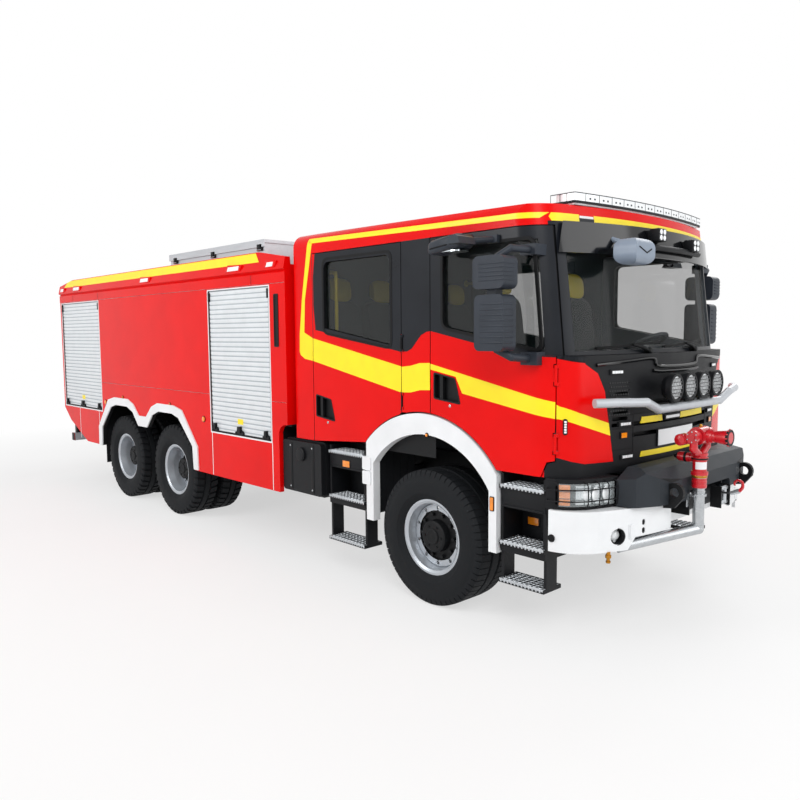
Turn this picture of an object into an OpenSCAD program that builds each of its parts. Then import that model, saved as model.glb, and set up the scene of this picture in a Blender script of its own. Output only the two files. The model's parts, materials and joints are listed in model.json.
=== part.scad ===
// Six-wheel fire truck with a four-door crew cab, a roller-shutter body and a bumper water monitor.
// Millimetres. +X points forward, +Y to the vehicle's left, +Z up from the ground.
// Every module is drawn from the front axle's centre line; at_origin() moves it to the model's middle.

/* [Overall] */
// Front axle to the monitor's nozzle tip
front_reach = 1910; // [1890:10:2000]
// Front axle to the rear face of the underrun bar
rear_reach = 7510; // [7450:10:7700]
// Half of the width of the bodywork
body_half = 1275; // [1230:5:1300]
// Half of the width of the cab
cab_half = 1215; // [1190:5:1225]

/* [Running gear] */
// Front axle to the leading rear axle
wheelbase = 4150; // [4100:10:4300]
// Leading to trailing rear axle
tandem = 1350; // [1300:10:1400]
// Radius of every tyre
tyre_r = 530; // [515:1:540]
// Width of a front tyre
front_tyre_w = 385; // [340:5:400]
// Width of a rear tyre
rear_tyre_w = 300; // [280:5:310]
// Middle of the vehicle to the middle of a front tyre
front_tyre_y = 1020; // [1000:5:1030]
// Middle of the vehicle to the middle of a rear outer tyre
rear_outer_y = 1062; // [1050:2:1070]
// Middle of one twin tyre to the middle of the other
twin_gap = 335; // [325:5:345]
// Middle of the vehicle to the king pin
king_pin_y = 880; // [870:5:890]
// Radius of the king pin
king_pin_r = 24; // [18:1:28]
// Radius of a hub's spindle
spindle_r = 58; // [50:1:62]

/* [Chassis] */
// Half of the width over the frame rails
rail_half = 425; // [410:5:430]
// Height of a frame rail
rail_h = 270; // [250:5:280]
// Underside of the frame rails above the ground
rail_z = 790; // [780:5:800]
// Front end of the frame rails
rail_front = 1330; // [1280:10:1340]

/* [Cab] */
// Rear face of the cab, from the front axle
cab_rear = -1680; // [-1690:5:-1660]
// Front of the cab below the windscreen, at the middle
cab_front = 1380; // [1370:2:1390]
// Front of the windscreen's foot, at the middle
screen_front = 1300; // [1290:2:1310]
// Radius of the bowed front in plan
bow_r = 4000; // [3600:50:4600]
// Radius of the cab's front corners in plan
corner_r = 280; // [260:5:300]
// Lean of the windscreen
rake = 7; // [6:0.5:8]
// Lower edge of the cab's sides
skirt_z = 1150; // [1140:2:1160]
// Height of the windscreen's foot
belt_z = 1950; // [1940:5:1960]
// Roof height at the rear of the cab
roof_rear_z = 2990; // [2980:5:3000]
// Roof height at the front of the cab
roof_front_z = 2945; // [2935:5:2955]
// Thickness of the cab's walls and doors
wall = 65; // [60:1:70]
// Top of the cab floor
floor_z = 1420; // [1410:5:1430]
// Gap round a door
door_gap = 7; // [5:0.5:8]

/* [Body] */
// Front face of the body, from the front axle
body_front = -1740; // [-1750:5:-1735]
// Rear face of the body
body_rear = -7400; // [-7420:5:-7380]
// Lower edge of the body's sides
body_z = 615; // [600:5:640]
// Upper edge of the body's sides
body_top = 2575; // [2570:5:2590]
// Top of the roof rails
rail_top = 2880; // [2860:5:2900]
// Thickness of the body's walls
body_wall = 45; // [40:1:50]
// Height of one shutter slat
slat = 46; // [40:1:52]

/* [Fittings] */
// Radius of the stainless monitor pipe
pipe_r = 38; // [34:1:42]
// Distance of the monitor from the middle of the vehicle, on the right
monitor_y = -300; // [-310:5:-290]
// Middle of the monitor's riser, from the front axle
monitor_x = 1705; // [1703:1:1710]
// Height of the monitor's elevation axis
monitor_z = 1400; // [1395:1:1405]
// Radius of the holes in the towing lugs
tow_eye_r = 32; // [28:1:35]
// Length of the roof box
box_len = 2050; // [1900:10:2100]

/* [Hidden] */
$fn = 48;

red = "#d8120f";
black = "#1c1f24";
white = "#eceeef";
steel = "#aeb4ba";
alloy = "#c4c9ce";
tint = "#5a7078";

// Places along the vehicle, worked out from the driving sizes
origin_x = (rear_reach - front_reach) / 2;
lead_x = -wheelbase;
trail_x = -wheelbase - tandem;
tandem_mid = -wheelbase - tandem / 2;
axle_z = tyre_r;
rail_top_z = rail_z + rail_h;

// Wheels
rim_r = 286;
rim_lip_r = 299;
rim_w = 300;
twin_rim_w = 232;
hub_r = 205;
bore_gap = 0.05;

// Wheel opening in the cab's side
arch_x = -40;
arch_z = axle_z + 70;
arch_r = 905;
fender_gap = 12;
fender_w = 150;
fender_y = [cab_half - wall + 2.3, cab_half + 11];
fender_leg = [-690, 690];
fender_foot = axle_z + 30;

// Gap between a piece and the seat that carries it
seat_gap = 0.3;

// The cab steps in a little above the belt line
belt_step = 2;
upper_half = cab_half - belt_step;

// Doors: columns are rear edge, front edge at the foot, front edge at the top
door_top = 2800;
front_door = [45, 1132, 1035];
rear_door = [-1405, -275, -275];
door_sill = skirt_z;
hinge_r = 11;
hinge_gap = 6;
hinge_heights = [1330, 1780];
hinge_len = 90;
hinge_pin_r = 5;
hinge_lug = 22;
hinge_play = 0.3;
hinge_clear = 0.15;
lower_cut = [1046, 1085, 1262];

// Windscreen and grille
screen_half = cab_half - 210;
screen_z = [belt_z + 28, 2690];
glass_t = 8;
screen_set = 8;
door_glass_set = 24;
grille_depth = 50;
visor_stand = 95;
grille_z = skirt_z + 78;

// Body openings: columns are rear edge, front edge, lower edge
shutter_top = 2552;
front_locker = [-3130, -2005, 1085];
rear_locker = [-7336, -6019, 1100];
back_half = body_half - 495;
back_z = 1100;
shutter_t = 26;
shutter_set = 8;
deck_z = body_top + 45;
arch_mid = tandem_mid + 40;
trim_t = 14;

// Front end
bumper_front = 1640;
bumper_half = cab_half + 17;
bumper_bow = bow_for(bumper_half, 340.4);
bumper_corner = 330;
bumper_z = [672, 948];
lamp_z = [948, 1150];
lamp_front = 1510;
bar_r = 30;
bar_z = 1575;
bar_x = 1490;
lamp_r = 98;
lamp_pitch = 214;
winch_z = [955, 1200];
lug_y = 560;
lug_x = 1665;
lug_t = 32;

// Small helpers

module at_origin() translate([origin_x, 0, 0]) children();

module both_sides() {
  children();
  mirror([0, 1, 0]) children();
}

// A block given by its low and high corners
module block(low, high) translate(low) cube(high - low);

// A round bar from one point to another
module rod(a, b, r) {
  v = b - a;
  translate(a) rotate([0, acos(v.z / norm(v)), atan2(v.y, v.x)]) cylinder(h = norm(v), r = r);
}

// A round bar along a chain of points, with ball corners
module pipe(points, r) {
  for (i = [1:len(points) - 1]) rod(points[i - 1], points[i], r);
  if (len(points) > 2) for (i = [1:len(points) - 2]) translate(points[i]) sphere(r + 1);
}

// A rectangle from low to high with round corners
module round_rect(low, high, r) {
  translate(low + [r, 0]) square(high - low - [2 * r, 0]);
  translate(low + [0, r]) square(high - low - [0, 2 * r]);
  for (x = [low.x + r, high.x - r], y = [low.y + r, high.y - r]) translate([x, y]) circle(r);
}

// Stands a side outline (x, z) up and gives it a thickness between two distances on the right side
module side_slab(y) translate([0, -y[0], 0]) rotate([90, 0, 0]) linear_extrude(y[1] - y[0]) children();

// Stands a front outline (y, z) up between two places along the vehicle
module front_slab(x) translate([x[0], 0, 0]) rotate([90, 0, 90]) linear_extrude(x[1] - x[0]) children();

// Cab form

// Radius of a bow from half of its width and its rise
function bow_for(half, rise) = (half * half + rise * rise) / (2 * rise);

// Plan of a bowed front that runs tangent into round corners and straight sides
module bowed_plan(front, half, corner, bow, rear, inset) {
  corner_y = half - corner;
  corner_x = front - bow + sqrt(pow(bow - corner, 2) - pow(corner_y, 2));
  meet_y = (bow - inset) * corner_y / (bow - corner);
  translate([rear + inset, inset - half]) square([corner_x - rear - inset, 2 * (half - inset)]);
  for (s = [-1, 1]) translate([corner_x, s * corner_y]) circle(corner - inset, $fn = 96);
  intersection() {
    translate([front - bow, 0]) circle(bow - inset, $fn = 360);
    translate([corner_x - 1, -meet_y]) square([front - corner_x + 1, 2 * meet_y]);
  }
}

module cab_plan(front, inset) bowed_plan(front, cab_half, corner_r, bow_r, cab_rear, inset);

// The cab up to the windscreen's foot
module cab_lower(inset) {
  translate([0, 0, skirt_z - 20]) linear_extrude(belt_z - skirt_z + 20) cab_plan(cab_front, inset);
}

// The leaning front above it, bounded by the roof
module cab_upper(inset) {
  intersection() {
    screen_prism(inset);
    cab_roof_form(inset);
  }
}

module screen_prism(inset) {
  lean_start = 320;
  translate([0, 0, belt_z]) rotate([0, -rake, 0]) translate([0, 0, -lean_start])
    linear_extrude(1700) bowed_plan(screen_front * cos(rake), cab_half + 1, corner_r, bow_r, cab_rear, inset);
}

module cab_roof_form(inset) {
  edge_r = 120;
  low = belt_z;
  intersection() {
    side_slab([-cab_half - 50, cab_half + 50]) polygon([
      [cab_rear + inset, low], [cab_front, low], [cab_front, roof_front_z - inset],
      [screen_front - 300, roof_front_z - inset], [cab_rear + inset, roof_rear_z - inset]
    ]);
    front_slab([cab_rear - 10, cab_front + 10]) difference() {
      round_rect([inset - upper_half, low - 400], [upper_half - inset, roof_rear_z - inset], edge_r - inset);
      translate([-cab_half, low - 410]) square([2 * cab_half, 410]);
    }
  }
}

module cab_form(inset) {
  cab_lower(inset);
  cab_upper(inset);
}

module front_door_outline(grow) polygon([
  [front_door[0] - grow, door_sill - grow], [lower_cut[0] + grow, door_sill - grow],
  [lower_cut[1] + grow, lower_cut[2] - 12 - grow], [front_door[1] + grow, lower_cut[2] - grow],
  [front_door[1] + grow, belt_z], [front_door[2] + grow, door_top + grow],
  [front_door[0] - grow, door_top + grow]
]);

module rear_door_outline(grow) polygon([
  [rear_door[0] - grow, door_sill - grow], [rear_arch_foot.x + grow, rear_arch_foot.y - grow],
  [rear_door[1] + grow, rear_arch_head - grow], [rear_door[2] + grow, door_top + grow],
  [rear_door[0] - grow, door_top + grow]
]);
rear_arch_foot = [-600, 1215];
rear_arch_head = 1487;

module front_window_outline() {
  intersection() {
    polygon([
      [front_door[0] + 120, 2145], [front_door[1] - 85, 1985], [front_door[2] - 60, 2715],
      [front_door[0] + 120, 2715]
    ]);
    round_rect([front_door[0] + 120, 1950], [front_door[1] - 60, 2715], 55);
  }
}

module rear_window_outline() {
  intersection() {
    polygon([
      [rear_door[0] + 165, 2150], [rear_door[1] - 130, 2010], [rear_door[1] - 130, 2720],
      [rear_door[0] + 165, 2720]
    ]);
    round_rect([rear_door[0] + 165, 1990], [rear_door[1] - 130, 2720], 55);
  }
}

// A door's handle cup with its lever: corner is the cup's lower rear corner
handle_depth = 38;
module handle_cup(corner) side_slab([cab_half - handle_depth, cab_half + 20]) translate(corner)
  polygon([[0, 0], [255, -28], [205, 150], [0, 185]]);
module handle_lever(corner) side_slab([cab_half - 30, cab_half - 4]) translate(corner)
  polygon([[52, -12], [84, -16], [84, 178], [52, 182]]);
front_handle = [84, 1620];
rear_handle = [-1368, 1379];

// The round wheel opening, as a side outline
module cab_arch_outline(r) {
  translate([arch_x, arch_z]) circle(r, $fn = 120);
  polygon([[rear_arch_foot.x - 30, 1100], rear_arch_foot + [door_gap, -door_gap],
    [rear_door[1] + door_gap, rear_arch_head], [0, rear_arch_head], [0, 1100]]);
}

// Depth of a cut through the cab's side
side_cut = [cab_half - 230, cab_half + 20];

// Outline of the black front panel, as a front outline
module grille_outline() {
  // Half of the outline: columns are distance in from the cab's side, height
  edge = [[470, grille_z], [415, 1520], [380, 1710], [315, 1830], [205, 1895], [205, belt_z - 1]];
  right = [for (e = edge) [e[0] - cab_half, e[1]]];
  left = [for (i = [len(edge) - 1:-1:0]) [cab_half - edge[i][0], edge[i][1]]];
  polygon(concat(right, left));
}

module grille_seat(depth) {
  intersection() {
    difference() {
      cab_lower(-1);
      cab_lower(depth);
    }
    front_slab([600, cab_front + 20]) grille_outline();
  }
}

// The hinge line of a door lies on the cab's outer face, in the gap ahead of the door
function plan_y(x) = let (
  corner_y = cab_half - corner_r,
  corner_x = cab_front - bow_r + sqrt(pow(bow_r - corner_r, 2) - pow(corner_y, 2))
) x <= corner_x ? cab_half : corner_y + sqrt(pow(corner_r, 2) - pow(x - corner_x, 2));
front_hinge = [front_door[1] + door_gap / 2, -plan_y(front_door[1]) - 2];
rear_hinge = [rear_door[1] + door_gap / 2, -cab_half - 2];

function hinge_feet(place) = [for (z = hinge_heights) z + (place.x < 0 ? 200 : 0)];

module hinge_barrels(place, r, extra) {
  for (z = hinge_feet(place)) translate([place.x, place.y, z - extra]) cylinder(h = hinge_len + 2 * extra, r = r);
}

// The pillar's half of a hinge: a lug at each end of the door's barrel and the pin through it
module hinge_seats(place) {
  for (z = hinge_feet(place)) {
    translate([place.x, place.y, z - hinge_lug]) cylinder(h = hinge_len + 2 * hinge_lug, r = hinge_pin_r);
    for (low = [z - hinge_lug, z + hinge_len + hinge_play]) {
      translate([place.x, place.y, low]) cylinder(h = hinge_lug - hinge_play, r = hinge_r);
      block([place.x, place.y - 4, low], [place.x + 22, place.y + 28, low + hinge_lug - hinge_play]);
    }
  }
}

// Room for those lugs at the edge of a door
module hinge_room(place) {
  for (z = hinge_feet(place), low = [z - hinge_lug - hinge_gap, z + hinge_len])
    translate([place.x, place.y, low]) cylinder(h = hinge_lug + hinge_gap, r = hinge_r + hinge_gap);
}

module cab_shell() color(red) {
  both_sides() {
    hinge_seats(front_hinge);
    hinge_seats(rear_hinge);
  }
  difference() {
    union() {
      difference() {
        cab_form(0);
        cab_form(wall);
      }
      intersection() {
        cab_lower(wall - 1);
        block([cab_rear, -cab_half, floor_z - 60], [cab_front, cab_half, floor_z]);
      }
      both_sides() block([-430, -cab_half + wall - 2, floor_z - 1], [370, -cab_half + wall + 60, 1540]);
      translate([0, 0, belt_z - 30]) linear_extrude(31) difference() {
        cab_plan(cab_front, grille_depth);
        cab_plan(screen_front, wall + 10);
        translate([cab_rear - 10, -cab_half]) square([950 - cab_rear, 2 * cab_half]);
      }
    }
    both_sides() {
      side_slab(side_cut) front_door_outline(door_gap);
      side_slab(side_cut) rear_door_outline(door_gap);
      side_slab([cab_half - wall + 2, cab_half + 20]) cab_arch_outline(arch_r);
      side_slab([cab_half - wall - 1, cab_half + 20]) polygon([[rear_door[0] - door_gap, skirt_z - 30],
        [rear_arch_foot.x, skirt_z - 30], rear_arch_foot, [rear_door[0] - door_gap, skirt_z + 5]]);
      hinge_barrels(front_hinge, hinge_r + hinge_gap, hinge_gap);
      hinge_barrels(rear_hinge, hinge_r + hinge_gap, hinge_gap);
    }
    block([900, -screen_half, screen_z[0]], [cab_front + 50, screen_half, screen_z[1]]);
    grille_seat(grille_depth);
    block([cab_rear - 1, -cab_half + wall, skirt_z - 30], [cab_rear + 200, cab_half - wall, floor_z - 60]);
    block([-700, -cab_half - 1, skirt_z - 30], [cab_front + 60, cab_half + 1, skirt_z]);
    block([cab_rear - 1, -cab_half - 1, skirt_z - 30], [-690, cab_half + 1, skirt_z]);
  }
}

module door(outline_front) {
  place = outline_front ? front_hinge : rear_hinge;
  difference() {
    union() {
      difference() {
        intersection() {
          difference() {
            cab_form(0);
            cab_form(wall);
          }
          side_slab(side_cut) {
            if (outline_front) front_door_outline(0);
            else rear_door_outline(0);
          }
        }
        hinge_room(place);
      }
      hinge_barrels(place, hinge_r, 0);
      hinge_leaves(place);
    }
    side_slab(side_cut) {
      if (outline_front) front_window_outline();
      else rear_window_outline();
    }
    side_slab(side_cut) translate([arch_x, arch_z]) circle(arch_r, $fn = 120);
    hinge_barrels(place, hinge_pin_r + hinge_clear, 1);
    handle_cup(outline_front ? front_handle : rear_handle);
  }
  handle_lever(outline_front ? front_handle : rear_handle);
}

// The leaf that joins a hinge barrel to the edge of its door
module hinge_leaves(place) {
  for (z = hinge_feet(place)) block([place.x - 14, place.y - 2, z], [place.x, place.y + 8, z + hinge_len]);
}

module door_glass(front) {
  intersection() {
    difference() {
      cab_form(door_glass_set);
      cab_form(door_glass_set + glass_t);
    }
    side_slab(side_cut) {
      if (front) front_window_outline();
      else rear_window_outline();
    }
  }
}

module windscreen() color(tint) {
  intersection() {
    difference() {
      cab_upper(screen_set);
      cab_upper(screen_set + glass_t);
    }
    block([900, -screen_half, screen_z[0]], [cab_front + 50, screen_half, screen_z[1]]);
  }
}

// Front panel: a bowed black plate with side intakes, three long slots and a service flap line
module grille() color(black) {
  slot_rows = [1395, 1470, 1610];
  slot_y = cab_half - 655;
  intake_y = [cab_half - 445, cab_half - 605];
  difference() {
    grille_seat(grille_depth);
    for (z = slot_rows) front_slab([900, cab_front + 60]) round_rect([-slot_y, z - 16], [slot_y, z + 16], 14);
    both_sides() for (i = [0:5]) front_slab([900, cab_front + 60])
      round_rect([6 * i - intake_y[0], 1460 + 42 * i], [-intake_y[1], 1486 + 42 * i], 10);
  }
}

// Visor: a bowed band that stands off the windscreen, with a roof above it
module sun_visor() color(black) {
  band_t = 18;
  band = [2625, 2830];
  intersection() {
    difference() {
      visor_form(0, visor_stand);
      difference() {
        visor_form(band_t, visor_stand);
        block([0, -2000, band[1] - band_t], [2000, 2000, 4000]);
      }
      screen_prism(-0.3);
    }
    block([1085, -cab_half, band[0]], [1700, cab_half, band[1]]);
  }
}

module visor_form(inset, stand) {
  translate([0, 0, belt_z]) rotate([0, -rake, 0]) linear_extrude(1100)
    bowed_plan(screen_front * cos(rake) + stand, cab_half + 8, corner_r + 40, bow_r - 1200, 0, inset);
}

// Dashboard with binnacle, steering column and steering wheel on the left
module dashboard() color(black) intersection() {
  dashboard_form();
  linear_extrude(3000) cab_plan(screen_front, wall + 14);
}

module dashboard_form() {
  wheel_y = cab_half - 695;
  wheel_at = [815, wheel_y, 1985];
  dash_half = cab_half - 245;
  tilt = -28;
  side_slab([-dash_half, dash_half]) polygon([
    [930, 1640], [880, 1780], [890, 1900], [950, 1945], [1130, 1965], [1225, 1930], [1225, 1640]
  ]);
  block([1000, -dash_half, floor_z], [1225, dash_half, 1640]);
  translate([900, wheel_y, 1925]) rotate([90, 0, 0]) translate([0, 0, -170]) cylinder(h = 340, r = 70);
  rod([900, wheel_y, 1900], wheel_at, 32);
  translate(wheel_at) rotate([0, tilt, 0]) {
    rotate_extrude($fn = 72) translate([210, 0]) circle(15);
    for (a = [30, 150, 270]) rotate(a) rod([0, 0, -8], [205, 0, 0], 12);
    translate([0, 0, -28]) cylinder(h = 34, r = 62);
  }
}

// Seats: columns are x of the cushion's rear edge, y of its middle
seat_outer = cab_half - 415;
seat_inner = cab_half - 945;
driver_y = cab_half - 695;
seat_places = [
  [150, driver_y], [150, -driver_y], [-1530, seat_outer], [-1530, seat_inner], [-1530, -seat_inner], [-1530, -seat_outer]
];
module seats() color("#3a3d40") for (s = seat_places) translate([s.x, s.y, floor_z]) {
  half = 235;
  side_slab([-half, half]) polygon([[40, 250], [500, 270], [530, 330], [505, 400], [140, 385], [60, 380]]);
  side_slab([-half + 12, half - 12]) polygon([[0, 300], [125, 340], [40, 950], [-20, 1010], [-75, 960], [-60, 600]]);
  side_slab([-130, 130]) polygon([[-20, 1000], [30, 960], [20, 1160], [-30, 1200], [-75, 1160], [-70, 980]]);
  block([90, -170, 0], [470, 170, 262]);
}

// Light bar: a long bowed lens on a base with two feet
module light_bar() color(white) {
  x = 1035;
  half = cab_half - 295;
  z = roof_front_z + 14;
  translate([0, 0, z]) linear_extrude(70) bar_plan(x, half, 0);
  translate([0, 0, z - 8]) linear_extrude(9) bar_plan(x, half, 18);
  both_sides() block([x - 33, half - 400, roof_front_z + seat_gap], [x + 60, half - 280, z - 7]);
}
module bar_plan(x, half, inset) intersection() {
  round_rect([x - 140 + inset, inset - half], [x + 140 - inset, half - inset], 110 - inset);
  translate([x + 140 - 5200, 0]) circle(5200 - inset, $fn = 240);
}

// Bull bar: one bent tube from corner to corner with two brackets behind
module bull_bar() color(steel) {
  rise = 70;
  stay_y = 330;
  stay_r = 18;
  end_y = cab_half - 170;
  // Half of the bar: columns are distance from the middle, x, z
  bends = [[end_y, 1345, bar_z + rise], [end_y - 145, 1425, bar_z + rise], [end_y - 405, bar_x, bar_z + rise - 12],
    [end_y - 565, bar_x, bar_z]];
  right = [for (b = bends) [b[1], -b[0], b[2]]];
  left = [for (i = [len(bends) - 1:-1:0]) [bends[i][1], bends[i][0], bends[i][2]]];
  pipe(concat(right, [[bar_x + 12, 0, bar_z]], left), bar_r);
  both_sides() rod([panel_x(stay_y - stay_r) + seat_gap, -stay_y, bar_z], [bar_x, -stay_y, bar_z], stay_r);
}
// Front of the black panel at a distance from the middle
function panel_x(y) = cab_front - bow_r + sqrt(pow(bow_r + 1, 2) - y * y);

// Four round spot lamps in a row on the bull bar
module spot_lamps() color(black) for (i = [-1.5:1.5]) {
  y = i * lamp_pitch;
  z = bar_z + bar_r + lamp_r + 14;
  translate([bar_x - 10, y, z]) rotate([0, 90, 0]) rotate_extrude($fn = 64)
    polygon([[0, -34], [40, -34], [78, -16], [lamp_r, 24], [lamp_r, 62], [lamp_r - 10, 62], [lamp_r - 10, 50], [0, 50]]);
  translate([bar_x + 6, y, bar_z + bar_r + 0.3]) cylinder(h = 24, r = 9);
}

module bumper_plan(inset) bowed_plan(bumper_front, bumper_half, bumper_corner, bumper_bow, 900, inset);

// Bumper: a deep bowed shell with wrapped corners, cut away in the middle for the winch
module front_bumper() color(white) {
  skin = 26;
  fog_y = cab_half - 293;
  fog_z = 769;
  notch_y = cab_half - 370;
  gap_y = cab_half - 745;
  beam_y = cab_half - 315;
  shelf_y = cab_half - 455;
  eye_y = cab_half - 495;
  // Lower edge of the right half: columns are y, z
  edge = [[-notch_y, bumper_z[0] - 1], [-notch_y + 60, bumper_z[0] + 80], [-gap_y, bumper_z[0] + 94]];
  difference() {
    translate([0, 0, bumper_z[0]]) linear_extrude(bumper_z[1] - bumper_z[0]) difference() {
      bumper_plan(0);
      bumper_plan(skin);
    }
    block([500, -2000, 0], [1130, 2000, 1300]);
    block([800, -gap_y, 0], [2000, gap_y, 1300]);
    both_sides() front_slab([1300, 2000]) polygon(concat(edge, [[-gap_y, bumper_z[0] - 1]]));
    both_sides() translate([1455, -fog_y, fog_z]) rotate([0, 90, -34]) translate([0, 0, -60])
      cylinder(h = 170, r = 52);
    both_sides() for (z = [790, 845]) front_slab([1450, 1700])
      round_rect([-eye_y - 13, z - 20], [-eye_y + 13, z + 20], 12.5);
  }
  translate([0, 0, bumper_z[1] - 16]) linear_extrude(16) difference() {
    intersection() {
      bumper_plan(2);
      translate([1150, -1200]) square([400, 2400]);
    }
    translate([1000, -shelf_y]) square([700, 2 * shelf_y]);
  }
  block([rail_front, -beam_y, 720], [rail_front + 90, beam_y, 860]);
  both_sides() block([rail_front + 88, -beam_y + 60, 748], [1505, -beam_y + 120, 840]);
  both_sides() block([rail_front - 160, rail_half - 70, rail_z + 12.3], [rail_front + 2, rail_half - 12.3, 860]);
}

// Headlamp housings under the red corners, each with a recessed lens field
module headlamps() color(black) {
  half = cab_half - 4;
  inner = cab_half - 395;
  bow = bow_for(half, 255.3);
  both_sides() difference() {
    translate([0, 0, lamp_z[0]]) linear_extrude(lamp_z[1] - lamp_z[0]) difference() {
      bowed_plan(lamp_front, half, 260, bow, 900, 0);
      bowed_plan(lamp_front, half, 260, bow, 900, 130);
      translate([500, -inner]) square([1200, 2200]);
      translate([500, -1400]) square([590, 700]);
    }
    translate([0, 0, lamp_z[0] + 34]) linear_extrude(124) difference() {
      bowed_plan(lamp_front, half, 260, bow, 900, -5);
      bowed_plan(lamp_front, half, 260, bow, 900, 22);
      translate([500, -inner - 30]) square([1200, 2200]);
      translate([500, -1400]) square([660, 700]);
    }
  }
}

// Winch housing ahead of the bumper, with the towing lugs, the fairlead and the winch hook
module winch_cover() color("#3b3f45") {
  wide = cab_half - 355;
  difference() {
    union() {
      winch_housing(wide);
      both_sides() side_slab([lug_y - lug_t / 2, lug_y + lug_t / 2]) {
        polygon([
          [1590, winch_z[0] - 30], [lug_x, winch_z[0] - 20], [lug_x + 60, 1010], [lug_x, 1090], [1560, 1110],
          [1560, winch_z[0] + 5], [1586, winch_z[0]]
        ]);
        translate([lug_x, 1040]) circle(62);
      }
    }
    front_slab([1450, 1800]) round_rect([-330, winch_z[0] - 100], [330, winch_z[0] + 60], 30);
    both_sides() translate([lug_x, -lug_y - 100, 1040]) rotate([-90, 0, 0]) cylinder(h = 200, r = tow_eye_r);
  }
  winch();
  both_sides() block([rail_front, -330, 860.3], [1520, -270, winch_z[0] + 20]);
}

// Housing with a tapered plan, a nose that slopes forward and shoulders that slope outward
module winch_housing(wide) {
  low = winch_z[0];
  top = winch_z[1];
  // Right half of the plan: columns are x and distance from the middle
  half = [[1405, wide], [1530, wide - 30], [1610, wide - 190], [1650, wide - 420]];
  right = [for (p = half) [p[0], -p[1]]];
  left = [for (i = [len(half) - 1:-1:0]) half[i]];
  intersection() {
    translate([0, 0, low]) linear_extrude(top - low) polygon(concat(right, left));
    side_slab([-wide - 20, wide + 20]) polygon([
      [1400, low - 1], [1660, low - 1], [1660, top - 95], [1555, top - 18], [1500, top], [1400, top]
    ]);
    front_slab([1390, 1700]) polygon([
      [-wide - 5, low - 2], [wide + 5, low - 2], [wide + 5, top - 70], [wide - 140, top + 1],
      [140 - wide, top + 1], [-wide - 5, top - 70]
    ]);
  }
}

// Rope drum between two cheeks, roller fairlead and hook
module winch() {
  rope_z = 905;
  translate([1540, -250, rope_z]) rotate([-90, 0, 0]) cylinder(h = 500, r = 66);
  for (y = [-262, 250]) block([1460, y, rope_z - 80], [1620, y + 12, winch_z[0] + 62]);
  translate([1660, 130, rope_z]) cylinder(h = 120, r = 18, center = true);
  translate([1660, 210, rope_z]) cylinder(h = 120, r = 18, center = true);
  for (z = [-52, 52]) translate([1660, 100, rope_z + z]) rotate([-90, 0, 0]) cylinder(h = 140, r = 17);
  for (y = [94, 238]) block([1610, y, rope_z - 78], [1690, y + 10, rope_z + 78]);
  for (y = [94, 238]) block([1530, y - 6, rope_z - 20], [1612, y + 16, rope_z + 20]);
}

// Wheel-arch fenders of the cab
module front_fenders() color(white) both_sides() {
  side_slab(fender_y) difference() {
    intersection() {
      translate([arch_x, arch_z]) circle(arch_r - fender_gap, $fn = 120);
      translate([fender_leg[0], fender_foot]) square([fender_leg[1] - fender_leg[0], 1200]);
    }
    intersection() {
      translate([-10, axle_z + 50]) circle(arch_r - fender_w, $fn = 120);
      translate([fender_leg[0] + 85, 0]) square([fender_leg[1] - fender_leg[0] - 155, 2000]);
    }
  }
  for (z = [858, 978]) side_slab([fender_y[0] + 20, fender_y[1] + 12])
    round_rect([fender_leg[0] - 40, z], [fender_leg[0] + 60, z + 112], 14);
}

// Steps: columns are x of the rear edge, x of the front edge, heights of the three treads, rise of the well
step_sets = [
  [700, 1082, 1055, 655, 385, 1128],
  [-1225, -745, 1085, 690, 315, 1128]
];
module cab_steps() color(black) both_sides() for (s = step_sets) {
  outer = -cab_half + 8;
  inner = outer + 260;
  tread = 28;
  cheek = 22;
  for (i = [2:4]) block([s[0], outer, s[i] - tread], [s[1], outer + 200, s[i]]);
  for (x = [s[0], s[1] - cheek]) block([x, outer + 20, s[3] - 60], [x + cheek, inner, s[5]]);
  block([s[0], inner - 20, s[3] - 60], [s[1], inner, s[5]]);
  block([s[0], outer + 14, s[3] - 75], [s[1], inner, s[3] - tread + 1]);
  for (x = [s[0], s[1] - cheek]) block([x, outer + 30, s[4] - tread], [x + cheek, outer + 150, s[3] - 60]);
  for (x = [s[0] + 40, s[1] - 120]) block([x, inner - 1, rail_z + 60], [x + 60, -rail_half, rail_z + 120]);
}

// Boxes between the steps and the body
module side_tanks() color(black) both_sides() {
  low = [body_front - 130, 27 - body_half, 640];
  high = [-1262, 495 - body_half, skirt_z - 10];
  difference() {
    side_slab([-high.y, -low.y]) round_rect([low.x, low.z], [high.x, high.z], 42);
    side_slab([-high.y + 420, -low.y + 5]) difference() {
      round_rect([low.x - 10, low.z - 10], [high.x + 10, high.z + 10], 20);
      round_rect([low.x + 14, low.z + 14], [high.x - 14, high.z - 14], 30);
    }
  }
  for (x = [low.x + 100, high.x - 160]) block([x, high.y - 1, rail_z + 30], [x + 60, -rail_half, rail_z + 110]);
}

// Chassis

module chassis_frame() color(black) {
  web = 12;
  flange = 85;
  rear = body_rear + 30;
  both_sides() block([rear, -rail_half, rail_z], [rail_front, -rail_half + web, rail_top_z]);
  both_sides() for (z = [rail_z, rail_top_z - web])
    block([rear, -rail_half, z], [rail_front, -rail_half + flange, z + web]);
  for (x = [rail_front - 180, -1700, -2600, lead_x + 420, tandem_mid, trail_x - 420, rear + 90])
    block([x, -rail_half + web - 1, rail_z + 95], [x + 90, rail_half - web + 1, rail_top_z - 60]);
  tail = trail_x - rear;
  both_sides() for (x = [lead_x + 640, lead_x + 1500, trail_x - 0.4 * tail, trail_x - 0.64 * tail])
    block([x, 175 - body_half, rail_top_z - 100], [x + 70, -rail_half, rail_top_z]);
}

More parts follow.
